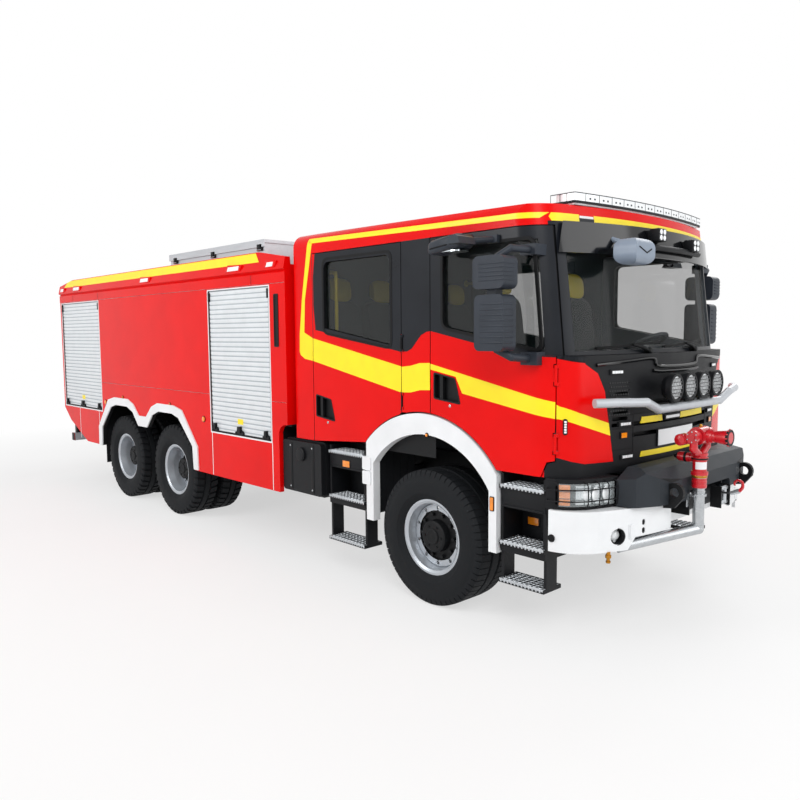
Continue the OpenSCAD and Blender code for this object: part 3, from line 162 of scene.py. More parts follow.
RED_LENS = surface("red_lens", "#b80d12", 0.15, mottle=40, spread=0.12, grain=260, bump=0.15, Coat_Weight=0.5)
LED = surface("led_white", "#f2f5f7", 0.12, mottle=60, spread=0.06, grain=300, bump=0.12, Coat_Weight=0.6)
CHROME = surface("reflector", "#d9dde0", 0.12, mottle=30, spread=0.06, grain=200, bump=0.05, Metallic=1.0)
MIRROR_GLASS = surface("mirror_glass", "#cdd4d8", 0.05, mottle=3, spread=0.04, bump=0.0, Metallic=1.0)
FABRIC = surface("seat_fabric", "#26292d", 0.85, mottle=30, spread=0.2, grain=700, bump=0.5, Sheen_Weight=0.3)
SIGNAL = surface("yellow_plastic", "#d8c414", 0.45, mottle=12, spread=0.06, grain=800, bump=0.1)
HOSE = surface("hose_rubber", "#202225", 0.6, mottle=15, spread=0.15, grain=500, bump=0.2)
TRIM = surface("cab_trim", "#4a4f54", 0.7, mottle=9, spread=0.1, grain=900, bump=0.3)
DASH = surface("dash_plastic", "#2b3034", 0.6, mottle=9, spread=0.12, grain=900, bump=0.3)
SIDE_GLASS = glass("side_glass", "#0c1413", 0.32)
SCREEN_GLASS = glass("screen_glass", "#16211f", 0.1)
CLEAR = glass("lamp_cover", "#dfe8ea", 0.16)


# Mesh making


class Form:
    """Collects the faces of one piece, each in the material that paint() last chose."""

    def __init__(self, material):
        self.mesh = bmesh.new()
        self.materials = []
        self.paint(material)

    def paint(self, material):
        if material not in self.materials:
            self.materials.append(material)
        self.index = self.materials.index(material)
        return self

    def faces(self, points, loops, bevel=0):
        """Adds faces between points and bevels all their edges if asked."""
        verts = [self.mesh.verts.new(p) for p in points]
        made = [self.mesh.faces.new([verts[i] for i in loop]) for loop in loops]
        for face in made:
            face.material_index = self.index
        if bevel:
            edges = {edge for face in made for edge in face.edges}
            bmesh.ops.bevel(self.mesh, geom=list(edges), offset=bevel, segments=2, profile=0.5,
                            affect="EDGES", clamp_overlap=True)
        return self

    def box(self, low, high, bevel=0.004):
        """A box between two corners."""
        corners = [(x, y, z) for x in (low[0], high[0]) for y in (low[1], high[1]) for z in (low[2], high[2])]
        loops = [(0, 1, 3, 2), (4, 6, 7, 5), (0, 4, 5, 1), (2, 3, 7, 6), (0, 2, 6, 4), (1, 5, 7, 3)]
        return self.faces(corners, loops, bevel)

    def prism(self, outline, start, end, place, bevel=0):
        """Extrudes a 2-D outline from start to end; place(u, v, w) gives the point in space."""
        n = len(outline)
        points = [place(u, v, w) for w in (start, end) for u, v in outline]
        loops = [tuple(range(n - 1, -1, -1)), tuple(range(n, 2 * n))]
        loops += [(i, (i + 1) % n, n + (i + 1) % n, n + i) for i in range(n)]
        self.faces(points, loops, bevel)
        made = self.mesh.faces[:] if bevel else self.mesh.faces[-n - 2 :]
        bmesh.ops.recalc_face_normals(self.mesh, faces=made)
        return self

    def sweep(self, rings):
        """Joins equal rings of points into a closed skin with end caps."""
        n = len(rings[0])
        points = [p for ring in rings for p in ring]
        loops = [tuple(range(n - 1, -1, -1)), tuple(range(len(points) - n, len(points)))]
        for k in range(len(rings) - 1):
            loops += [(k * n + i, k * n + (i + 1) % n, (k + 1) * n + (i + 1) % n, (k + 1) * n + i)
                      for i in range(n)]
        return self.faces(points, loops)

    def tube(self, points, radius, sides=12, end_radius=None):
        """A round bar along a chain of points; the radius may taper to end_radius."""
        points = [Vector(p) for p in points]
        rings, across = [], None
        for i, p in enumerate(points):
            ahead = (points[min(i + 1, len(points) - 1)] - points[max(i - 1, 0)]).normalized()
            if across is None:
                across = ahead.orthogonal().normalized()
            across = (across - ahead * across.dot(ahead)).normalized()
            other = ahead.cross(across)
            share = i / (len(points) - 1)
            r = radius if end_radius is None else radius + (end_radius - radius) * share
            turn = [2 * math.pi * k / sides for k in range(sides)]
            rings.append([p + r * (math.cos(a) * across + math.sin(a) * other) for a in turn])
        return self.sweep(rings)

    def lathe(self, profile, centre, axis, sides=32):
        """Turns a profile of (distance along the axis, radius) round an axis through centre."""
        centre, axis = Vector(centre), Vector(axis).normalized()
        across = axis.orthogonal().normalized()
        other = axis.cross(across)
        turn = [2 * math.pi * k / sides for k in range(sides)]
        spokes = [math.cos(a) * across + math.sin(a) * other for a in turn]
        return self.sweep([[centre + axis * h + max(r, 1e-4) * spoke for spoke in spokes] for h, r in profile])

    def mirror(self):
        """Adds the left-hand copy of all that is drawn so far."""
        copy = self.mesh.copy()
        flip(copy)
        append(self.mesh, copy)
        return self

    def done(self, name, body, slot):
        """Makes all that was drawn into one piece."""
        return place_mesh(self.mesh, name, body, self.materials)

    def pair(self, name, body, slot):
        """The piece on the right body and its mirror image on the left one."""
        copy = self.mesh.copy()
        flip(copy)
        right = place_mesh(self.mesh, f"{name}_right", f"{body}_right", self.materials)
        return right, place_mesh(copy, f"{name}_left", f"{body}_left", self.materials)


def flip(mesh):
    """Mirrors a bmesh to the other side and turns its faces outward again."""
    bmesh.ops.transform(mesh, matrix=MIRROR, verts=mesh.verts)
    bmesh.ops.reverse_faces(mesh, faces=mesh.faces)


def append(mesh, other):
    """Moves the faces of one bmesh into another."""
    carrier = bpy.data.meshes.new("carrier")
    other.to_mesh(carrier)
    other.free()
    mesh.from_mesh(carrier)
    bpy.data.meshes.remove(carrier)


def place_mesh(mesh, name, body, materials):
    """Moves a bmesh into the frame as a piece that rides on body; edges over CREASE stay sharp."""
    bmesh.ops.transform(mesh, matrix=TO_FRAME, verts=mesh.verts)
    mesh.normal_update()
    for face in mesh.faces:
        face.smooth = True
    for edge in mesh.edges:
        edge.smooth = len(edge.link_faces) == 2 and edge.calc_face_angle(0) < CREASE
    data = bpy.data.meshes.new(name)
    mesh.to_mesh(data)
    mesh.free()
    for material in materials:
        data.materials.append(material)
    piece = bpy.data.objects.new(name, data)
    bpy.context.scene.collection.objects.link(piece)
    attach(piece, body)
    return piece


def side(u, v, w):
    """A side outline (x, z) on the right: w is the distance from the middle."""
    return (u, -w, v)


def front(u, v, w):
    """A front outline (y, z): w is the distance ahead of the axle."""
    return (w, u, v)


def plan(u, v, w):
    """An outline (x, y) seen from above: w is the height."""
    return (u, v, w)


def rounded(low, high, radius, steps=5):
    """Points of a rectangle with round corners."""
    corners = [(high[0] - radius, high[1] - radius, 0), (low[0] + radius, high[1] - radius, 90),
               (low[0] + radius, low[1] + radius, 180), (high[0] - radius, low[1] + radius, 270)]
    line = []
    for x, y, start in corners:
        for i in range(steps + 1):
            a = math.radians(start + 90 * i / steps)
            line.append((x + radius * math.cos(a), y + radius * math.sin(a)))
    return line


def oblong(low, high):
    """Points of a rectangle with sharp corners."""
    return [low, (high[0], low[1]), high, (low[0], high[1])]


def curve_point(a, b, c, d, t):
    """A point of the Catmull-Rom curve from b to c."""
    return 0.5 * (2 * b + (c - a) * t + (2 * a - 5 * b + 4 * c - d) * t * t + (3 * b - a - 3 * c + d) * t**3)


def smooth(points, steps=6):
    """A Catmull-Rom line through a chain of points."""
    points = [Vector(p) for p in points]
    chain = [2 * points[0] - points[1]] + points + [2 * points[-1] - points[-2]]
    line = []
    for a, b, c, d in zip(chain, chain[1:], chain[2:], chain[3:]):
        line += [curve_point(a, b, c, d, k / steps) for k in range(steps)]
    return line + [points[-1]]


def bowed(front_x, half, corner, bow, y):
    """Where a bowed front with round corners lies ahead of the axle at distance y from the middle."""
    corner_y = half - corner
    corner_x = front_x - bow + math.sqrt((bow - corner) ** 2 - corner_y**2)
    meet = bow * corner_y / (bow - corner)
    y = abs(y)
    if y <= meet:
        return front_x - bow + math.sqrt(bow * bow - y * y)
    return corner_x + math.sqrt(max(0, corner**2 - (y - corner_y) ** 2))


# Finishes of the CAD nodes


def finish(material, *names):
    """Gives whole CAD nodes one material."""
    for name in names:
        data = NODES[name].data
        data.materials.clear()
        data.materials.append(material)
        for polygon in data.polygons:
            polygon.material_index = 0


def finish_faces(name, materials, choose):
    """Gives each face of a node one of the materials: choose(centre, normal) returns its number."""
    data = NODES[name].data
    data.materials.clear()
    for material in materials:
        data.materials.append(material)
    for polygon in data.polygons:
        centre = polygon.center - Vector((AXLE_X, 0, 0))
        polygon.material_index = choose(centre, polygon.normal)


def both(*names):
    """The right and left nodes of each name."""
    return [f"{name}_{s}" for name in names for s in SIDES]


def cab_lining(centre, normal):
    """Paint outside, grey trim inside, black underneath, in the handle cups and on the windows' edges."""
    x, y, z = centre.x, abs(centre.y), centre.z
    panel_x = bowed(CAB_FRONT, CAB_HALF, CAB_CORNER, CAB_BOW, y)
    at_windows = WINDOW_FOOT < z < WINDOW_TOP
    in_cup = any(-0.01 < x - u < 0.26 and -0.04 < z - v < 0.19 for u, v in (FRONT_HANDLE, REAR_HANDLE))
    cup_wall = in_cup and CAB_HALF - 0.045 < y < CAB_HALF - 0.001
    underside = z < SILL_TOP and normal.z < -0.5
    behind_panel = normal.x > 0.3 and 1.2 < z < BELT + 0.01 and x < panel_x - 0.01
    cowl_ledge = x > 1.1 and 1.9 < z < 2.0 and normal.z > 0.5
    hinge_barrel = at_windows and y > CAB_HALF + 0.001
    in_arch = y < CAB_HALF - 0.02 and x < 0.9 and z < ARCH_TOP
    if cup_wall or underside or behind_panel or cowl_ledge or hinge_barrel or in_arch:
        return BLACK
    if normal.dot((CAB_MIDDLE - centre).normalized()) > 0.25:
        return LINING
    window_edge = at_windows and abs(normal.y) < 0.7 and x > -1.45 and not (x > 1.0 and normal.x > 0.3)
    return BLACK if window_edge else PAINT


def door_lining(centre, normal):
    """As on the cab, with black edges round the upper half of a door."""
    return BLACK if centre.z > WINDOW_FOOT and abs(normal.y) < 0.7 else cab_lining(centre, normal)


def hub_black(centre, normal):
    """The hub in the middle of a rim is black."""
    return 1 if math.hypot(centre.x - wheel_x(centre.x), centre.z - AXLE_Z) < HUB_R else 0


def arch_edges(centre, normal):
    """Black inside the rear wheel arches."""
    in_arch = abs(centre.x - (LEAD_X + TRAIL_X) / 2) < REAR_ARCH_REACH and centre.z < REAR_ARCH_TOP
    return 1 if in_arch and abs(normal.y) < 0.5 else 0


def guard_parts(centre, normal):
    """Pale underrun bar, black lamp blocks and rubber mudflaps."""
    if centre.x > GUARD_X:
        return 2
    return 0 if centre.z < GUARD_BAR_TOP else 1


def slat_shade(centre, normal):
    """The narrow faces between the slats of a shutter are darker: painted shade in the grooves."""
    return 1 if abs(normal.z) > 0.3 else 0


def winch_parts(centre, normal):
    """Pale rollers of the fairlead, its black cheeks, a black drum and the grey housing."""
    x, y, z = centre
    if x > FAIRLEAD_BACK and z < FAIRLEAD_TOP and FAIRLEAD_Y[0] < y < FAIRLEAD_Y[1]:
        cheek = max(abs(part) for part in normal) > 0.999
        return 2 if cheek else 1
    on_lug = abs(abs(y) - TOW_LUG_Y) < 0.02
    return 2 if z < HOUSING_FOOT or on_lug else 0


def wheel_x(x):
    """The axle that is nearest to x."""
    return min((0, LEAD_X, TRAIL_X), key=lambda axle: abs(axle - x))


LEAD_X = JOINTS["lead_spin_right"]["pos_m"][0] - AXLE_X
TRAIL_X = JOINTS["trail_spin_right"]["pos_m"][0] - AXLE_X
GUARD_X, GUARD_BAR_TOP = -7.2, 0.656
REAR_ARCH_REACH, REAR_ARCH_TOP = 1.35, 1.25
HUB_R = 0.2
FAIRLEAD_BACK, FAIRLEAD_TOP, FAIRLEAD_Y = 1.625, 0.985, (0.08, 0.26)
HOUSING_FOOT, TOW_LUG_Y = 0.95, 0.56
PAINT, LINING, BLACK = 0, 1, 2
CAB_MIDDLE = Vector((-0.3, 0, 2.1))
WINDOW_FOOT, WINDOW_TOP = 1.97, 2.81
SILL_TOP, ARCH_TOP = 1.45, 1.41

finish(FRAME_BLACK, "chassis_frame", "front_axle", "rear_axles", "knuckle_right", "knuckle_left")
finish(ENGINE, "engine")
finish(RED, "body_ends", "body_roof")
finish_faces("body_sides", [RED, FRAME_BLACK], arch_edges)
finish(RED_CAST, "monitor_swivel", "monitor_barrel")
finish(PLASTIC, "grille", "spot_lamps", "headlamps", "cab_steps", "side_tanks", "body_floor")
finish(GLOSS, "sun_visor")
finish(DASH, "dashboard")
finish(MIRROR_GREY, *both("mirrors"))
# The front mirror's housing is grey, with painted sky reflection in its lighter colour
finish(MIRROR_SHEEN_GREY, "front_mirror")
finish(WHITE, "front_bumper", "front_fenders", "arch_trim")
finish(LED, "light_bar")
finish(TUBE, "bull_bar")
finish(STEEL, "monitor_riser")
finish(ALLOY, "rear_ladder", "roof_box", "roof_box_lid")
finish(HOSE, "suction_hoses")
finish(SCREEN_GLASS, "windscreen")
finish(SIDE_GLASS, *both("glass_front", "glass_rear"))
finish_faces("winch_cover", [GREY, ALLOY, FRAME_BLACK], winch_parts)
finish_faces("rear_guard", [TUBE, PLASTIC, RUBBER], guard_parts)
finish_faces("shutters", [SHUTTER, SHUTTER_SHADE], slat_shade)
finish_faces("cab_shell", [RED, TRIM, FRAME_BLACK], cab_lining)
for door_node in both("door_front", "door_rear"):
    finish_faces(door_node, [RED, TRIM, FRAME_BLACK], door_lining)
for rim_node in both("front_rim", "lead_rims", "trail_rims"):
    finish_faces(rim_node, [RIM, FRAME_BLACK], hub_black)


# Films on the bodywork: stripes and black zones, cut from the skin that carries them


def film(name, node, outlines, material, body, place=side, facing=RIGHT, lift=0.0012, lean=0.12, pair=False,
         mirrored=False, middle=(-0.2, 0, 2), slot="paint_red"):
    """A thin film on the outer skin of a node, inside convex outlines that are seen along facing."""
    facing, middle = Vector(facing).normalized(), Vector(middle)
    whole = bmesh.new()
    for outline in outlines:
        skin = bmesh.new()
        skin.from_mesh(NODES[node].data)
        bmesh.ops.transform(skin, matrix=TO_FRAME.inverted(), verts=skin.verts)
        hidden = [f for f in skin.faces
                  if f.normal.dot(facing) < lean or (f.calc_center_median() - middle).dot(f.normal) < 0]
        bmesh.ops.delete(skin, geom=hidden, context="FACES")
        points = [Vector(place(u, v, 1)) for u, v in outline]
        centre = sum(points, Vector()) / len(points)
        depth = Vector(place(0, 0, 1)) - Vector(place(0, 0, 0))
        for a, b in zip(points, points[1:] + points[:1]):
            outward = (b - a).cross(depth)
            if outward.dot(a - centre) < 0:
                outward.negate()
            bmesh.ops.bisect_plane(skin, geom=skin.verts[:] + skin.edges[:] + skin.faces[:], dist=1e-6,
                                   plane_co=a, plane_no=outward, clear_outer=True)
        append(whole, skin)
    bmesh.ops.remove_doubles(whole, verts=whole.verts, dist=2e-5)
    whole.normal_update()
    for vert, shift in [(v, v.normal.copy()) for v in whole.verts]:
        vert.co += shift * lift
    for face in whole.faces:
        face.material_index = 0
    form = Form(material)
    form.mesh.free()
    form.mesh = whole
    if mirrored:
        form.mirror()
    pieces = form.pair(name, body, slot) if pair else [form.done(name, body, slot)]
    for piece in pieces:
        shell = piece.modifiers.new("film", "SOLIDIFY")
        shell.thickness, shell.offset = lift + 0.0006, -1


# Columns are x and z of corners on the right side
REAR_ZONE = [(-1.37, 2.137), (-0.27, 1.958), (-0.27, 2.81), (-1.365, 2.81), (-1.395, 2.6), (-1.395, 2.35)]
REAR_BAND = [(-1.41, 2.064), (-0.27, 1.845), (-0.27, 1.641), (-1.41, 1.864)]
FRONT_ZONE = [(0.04, 2.119), (0.848, 1.956), (1.14, 1.94), (1.14, 2.0), (1.03, 2.81), (0.04, 2.81)]
FRONT_BAND = [[(0.04, 1.875), (0.3, 1.8213), (0.3, 1.786), (0.04, 1.832)],
              [(0.3, 1.8213), (1.14, 1.648), (1.14, 1.539), (0.363, 1.668), (0.345, 1.7), (0.3, 1.786)]]
PILLAR_EDGE = [(-0.275, 1.96), (-0.21, 1.963), (-0.157, 1.985), (-0.101, 2.043), (-0.056, 2.088), (0.0, 2.112),
               (0.045, 2.119)]
PILLAR_BAND = [(-0.275, 1.842, 1.643), (-0.17, 1.853, 1.647), (-0.07, 1.876, 1.67), (0.045, 1.88, 1.676)]
ROOF_BAND = [(-1.45, 2.895), (0.975, 2.8496), (1.015, 2.8856), (-1.45, 2.937)]
REAR_PILLAR_BAND = [
    [(-1.462, 2.937), (-1.45, 2.937), (-1.405, 2.89), (-1.519, 2.408), (-1.564, 2.41)],
    [(-1.564, 2.41), (-1.519, 2.408), (-1.537, 2.116), (-1.605, 2.1)],
    [(-1.605, 2.1), (-1.537, 2.116), (-1.41, 2.064), (-1.41, 1.864), (-1.53, 1.88), (-1.594, 1.914),
     (-1.61, 1.955)],
]
# Columns are y, top and foot on the cab's front, right half
CORNER_BAND = [(-1.18, 1.648, 1.541), (-1.155, 1.622, 1.538), (-1.044, 1.574, 1.494), (-0.92, 1.533, 1.453),
               (-0.743, 1.477, 1.396)]
CORNER_SKIRT = [(-1.2, 1.29, 1.1), (-1.161, 1.283, 1.1), (-1.096, 1.257, 1.1), (-1.004, 1.235, 1.1),
                (-0.745, 1.2285, 1.1), (0, 1.2285, 1.1)]
BROW_BANDS = [[(-1.1, 2.86), (-1.085, 2.832), (-0.865, 2.832), (-0.865, 2.885), (-1.085, 2.885)],
              [(-0.728, 2.832), (1.085, 2.832), (1.1, 2.86), (1.085, 2.885), (-0.728, 2.885)]]


def strips(columns):
    """Splits a band given by (x, top, foot) columns into convex pieces."""
    return [[(a[0], a[1]), (b[0], b[1]), (b[0], b[2]), (a[0], a[2])] for a, b in zip(columns, columns[1:])]


film("zone_rear", "door_rear_right", [REAR_ZONE], CHARCOAL, "rear_door", pair=True, lean=0.98)
film("band_rear", "door_rear_right", [REAR_BAND], YELLOW, "rear_door", pair=True)
film("zone_front", "door_front_right", [FRONT_ZONE], CHARCOAL, "front_door", pair=True)
film("band_front", "door_front_right", FRONT_BAND, YELLOW, "front_door", pair=True)
film("zone_pillar", "cab_shell", strips([(x, 2.806, z) for x, z in PILLAR_EDGE]), CHARCOAL, "chassis",
     mirrored=True)
film("band_pillar", "cab_shell", strips(PILLAR_BAND), YELLOW, "chassis", mirrored=True)
film("band_roof", "cab_shell", [ROOF_BAND, *REAR_PILLAR_BAND], YELLOW, "chassis", mirrored=True)
film("band_corner", "cab_shell", strips(CORNER_BAND), YELLOW, "chassis", place=front, facing=AHEAD,
     mirrored=True)
film("skirt_corner", "cab_shell", strips(CORNER_SKIRT), PLASTIC, "chassis", place=front, facing=AHEAD,
     mirrored=True, slot="plastic_black")
film("screen_surround", "cab_shell", [[(1.115, 1.94), (1.4, 1.86), (1.4, 2.832), (1.012, 2.832)]], CHARCOAL,
     "chassis", facing=(1, -0.6, 0), mirrored=True)
film("band_brow", "cab_shell", BROW_BANDS, YELLOW, "chassis", place=front, facing=AHEAD)
film("brow_gap", "cab_shell", [oblong((-0.865, 2.832), (-0.728, 2.862))], CHARCOAL, "chassis",
     place=front, facing=AHEAD, slot="plastic_black")
film("brow_marker", "cab_shell", [oblong((-0.86, 2.862), (-0.733, 2.878))], WHITE, "chassis",
     place=front, facing=AHEAD, slot="plastic_white")


# Outlines, fronts and plates that several pieces use


def inset(points, gap):
    """A convex outline moved inward by gap, or outward where gap is negative."""
    middle = sum((Vector(p) for p in points), Vector((0, 0))) / len(points)
    lines = []
    for a, b in zip(points, points[1:] + points[:1]):
        a, b = Vector(a), Vector(b)
        normal = Vector((b.y - a.y, a.x - b.x)).normalized()
        if normal.dot(middle - a) < 0:
            normal.negate()
        lines.append((a + normal * gap, b - a))
    moved = []
    for (p, d), (q, e) in zip(lines[-1:] + lines[:-1], lines):
        moved.append(p + d * ((q - p).cross(e) / d.cross(e)))
    return moved


def soft_corners(points, radius, steps=4):
    """Rounds the corners of a convex outline."""
    line = []
    points = [Vector(p) for p in points]
    for before, corner, after in zip(points[-1:] + points[:-1], points, points[1:] + points[:1]):
        start = corner + (before - corner).normalized() * radius
        end = corner + (after - corner).normalized() * radius
        for k in range(steps + 1):
            t = k / steps
            line.append(start * (1 - t) ** 2 + corner * 2 * t * (1 - t) + end * t * t)
    return line


def circle(centre, radius, count=16, squash=1.0, start=0):
    """Points round a centre, the first at start degrees; squash scales the height."""
    turn = [math.radians(start) + 2 * math.pi * k / count for k in range(count)]
    return [(centre[0] + radius * math.cos(a), centre[1] + radius * squash * math.sin(a)) for a in turn]


def panel(y):
    """The cab's black front panel at distance y from the middle."""
    return bowed(CAB_FRONT, CAB_HALF, CAB_CORNER, CAB_BOW, y) + 0.001


def screen(y, z):
    """The windscreen's outer face at distance y from the middle and height z."""
    return bowed(SCREEN_FRONT, CAB_HALF, CAB_CORNER, CAB_BOW, y) - RAKE * (z - BELT)


def visor(y, z):
    """The sun visor's face at distance y from the middle and height z."""
    front_x = SCREEN_FRONT * COS_RAKE + VISOR_STAND
    return bowed(front_x, CAB_HALF + 0.008, CAB_CORNER + 0.04, CAB_BOW - 1.2, y) / COS_RAKE - RAKE * (z - BELT)


def bumper(y):
    """The bumper's face at distance y from the middle."""
    return bowed(BUMPER_FRONT, BUMPER_HALF, BUMPER_CORNER, BUMPER_BOW, y)


def wrapped(front_x, half, corner, bow, start_y, count, stand=0.0):
    """Plan points (x, y) from start_y round the right corner to the side, moved outward by stand."""
    corner_y = half - corner
    corner_x = front_x - bow + math.sqrt((bow - corner) ** 2 - corner_y**2)
    tilt = math.asin(corner_y / (bow - corner))
    begin = math.asin(start_y / bow)
    line = []
    for k in range(count + 1):
        angle = begin + (tilt - begin) * k / count
        line.append((front_x - bow + (bow + stand) * math.cos(angle), -(bow + stand) * math.sin(angle)))
    for k in range(1, count + 1):
        angle = tilt + (math.pi / 2 - tilt) * k / count
        line.append((corner_x + (corner + stand) * math.cos(angle),
                     -corner_y - (corner + stand) * math.sin(angle)))
    return line


def bent(form, outline, surface_x, depth, proud):
    """A plate with outline (y, z) on a bowed front, from depth behind the surface to proud ahead of it."""
    n = len(outline)
    points = [(surface_x(y) + w, y, z) for w in (-depth, proud) for y, z in outline]
    loops = [tuple(range(n)), tuple(range(2 * n - 1, n - 1, -1))]
    loops += [(i, n + i, n + (i + 1) % n, (i + 1) % n) for i in range(n)]
    form.faces(points, loops)
    return form


def bent_strip(form, low, high, surface_x, depth, proud, steps=12, lean=0.0):
    """A long plate that follows a bowed front from low to high corner (y, z); lean slants its ends."""
    rings = []
    for k in range(steps + 1):
        t = k / steps
        ring = []
        for w, z in ((-depth, low[1]), (proud, low[1]), (proud, high[1]), (-depth, high[1])):
            slant = lean * (z - low[1]) / (high[1] - low[1])
            y = low[0] + slant + (high[0] - low[0] - 2 * slant) * t
            ring.append((surface_x(y) + w, y, z))
        rings.append(ring)
    return form.sweep(rings)


def ring_prism(form, outer, inner, start, end, place):
    """A frame between two outlines with equally many points."""
    n = len(outer)
    points = [place(u, v, w) for w in (start, end) for line in (outer, inner) for u, v in line]
    loops = []
    for i in range(n):
        j = (i + 1) % n
        loops += [(i, j, n + j, n + i), (2 * n + i, 3 * n + i, 3 * n + j, 2 * n + j),
                  (i, 2 * n + i, 2 * n + j, j), (n + i, n + j, 3 * n + j, 3 * n + i)]
    form.faces(points, loops)
    bmesh.ops.recalc_face_normals(form.mesh, faces=form.mesh.faces[:])
    return form


def hexagon(form, centre, axis, radius, height):
    """A nut with a domed top."""
    return form.lathe([(-0.002, radius), (height * 0.7, radius), (height, radius * 0.75)], centre, axis,
                      sides=6)


# Doors: window seals, handle rims, mirrors

FRONT_WINDOW = [(0.165, 2.145), (1.047, 1.985), (0.975, 2.715), (0.165, 2.715)]
REAR_WINDOW = [(-1.25, 2.115), (-0.39, 1.99), (-0.39, 2.74), (-1.25, 2.74)]
SEAL_IN, SEAL_OUT, SEAL_PROUD = 0.006, -0.016, 0.004


def window_seal(name, window, body):
    """A rubber frame round a door window."""
    outer = soft_corners(inset(window, SEAL_OUT), 0.075)
    inner = soft_corners(inset(window, SEAL_IN), 0.055)
    form = Form(SEAL)
    ring_prism(form, outer, inner, UPPER_HALF - 0.012, UPPER_HALF + SEAL_PROUD, side)
    form.pair(name, body, "plastic_black")


def mirror_dress():
    """Ribs on the housings and glass in their backs."""
    ribs = Form(MIRROR_GREY)
    for (low, high), count in zip(MIRROR_HEADS, (5, 8)):
        pitch = (high[2] - low[2] - 0.08) / count
        for k in range(count):
            z = low[2] + 0.05 + pitch * k
            ribs.box((low[0] + 0.05, low[1] - 0.0035, z), (high[0] + 0.0035, high[1] - 0.03, z + 0.012), 0.003)
    ribs.pair("mirror_ribs", "front_door", "plastic_black")
    panes = Form(SEAL)
    for low, high in MIRROR_HEADS:
        rim = rounded((low[1] + 0.012, low[2] + 0.02), (high[1] - 0.012, high[2] - 0.02), 0.03)
        panes.paint(SEAL).prism(rim, low[0] - 0.004, low[0] + 0.004, front)
        pane = rounded((low[1] + 0.018, low[2] + 0.026), (high[1] - 0.018, high[2] - 0.026), 0.026)
        panes.paint(MIRROR_GLASS).prism(pane, low[0] - 0.0055, low[0] - 0.002, front)
    panes.pair("mirror_glass", "front_door", "glass")


def handle_dress():
    """A black rim round each handle cup."""
    for name, corner, body in (("front", FRONT_HANDLE, "front_door"), ("rear", REAR_HANDLE, "rear_door")):
        cup = [(corner[0] + u, corner[1] + v) for u, v in ((0, 0), (0.255, -0.028), (0.205, 0.15), (0, 0.185))]
        outer = soft_corners(inset(cup, -0.007), 0.02)
        inner = soft_corners(inset(cup, 0.004), 0.016)
        rim = Form(PLASTIC)
        ring_prism(rim, outer, inner, CAB_HALF - 0.01, CAB_HALF + 0.003, side)
        rim.paint(STEEL).lathe([(0, 0.011), (0.004, 0.011), (0.005, 0.009)],
                               (corner[0] + 0.16, -CAB_HALF - 0.0005, corner[1] - 0.05), RIGHT, 14)
        rim.pair(f"handle_rim_{name}", body, "plastic_black")


def kerb_mirror():
    """The close-up mirror over the passenger door: a tapered housing with a V crease, glass and an arm."""
    form = Form(MIRROR_GREY)
    x0, x1, rise = KERB_MIRROR
    rings = []
    for t, grown in ((0, 0.5), (0.04, 0.78), (0.14, 0.97), (0.5, 1.0), (0.84, 0.96), (0.96, 0.76), (1, 0.5)):
        x, z = x0 + (x1 - x0) * t, rise[0] + (rise[1] - rise[0]) * t
        outline = rounded((-0.095 * grown, -0.052 * grown), (0.095 * grown, 0.05 * grown), 0.032 * grown)
        rings.append([(x, KERB_MIRROR_Y + u, z + v) for u, v in outline])
    form.sweep(rings)
    face_y = KERB_MIRROR_Y - 0.0955
    crease = [(0.15, -0.012), (0.62, -0.016), (0.84, 0.014)]
    line = [(x0 + (x1 - x0) * t, face_y, rise[0] + (rise[1] - rise[0]) * t + dz) for t, dz in crease]
    form.paint(SEAL).tube(line, 0.0045, 6)
    middle_x, middle_z = (x0 + x1) / 2, sum(rise) / 2
    pane = rounded((middle_x - 0.12, KERB_MIRROR_Y - 0.07), (middle_x + 0.12, KERB_MIRROR_Y + 0.07), 0.03)
    form.paint(MIRROR_GLASS).prism(pane, middle_z - 0.0545, middle_z - 0.045, plan)
    arm = [(-UPPER_HALF + 0.002, middle_z + 0.03), (-1.25, middle_z + 0.03), (KERB_MIRROR_Y, middle_z)]
    form.paint(PLASTIC).tube(smooth([(middle_x, y, z) for y, z in arm], 4), 0.022, 12)
    form.done("kerb_mirror_right", "front_door_right", "plastic_black")


KERB_MIRROR = (0.2, 0.53, (2.694, 2.738))
KERB_MIRROR_Y = -1.335
window_seal("seal_front", FRONT_WINDOW, "front_door")
window_seal("seal_rear", REAR_WINDOW, "rear_door")
mirror_dress()
kerb_mirror()
handle_dress()


# Cab front: black panel, lights, cowl, wipers, visor


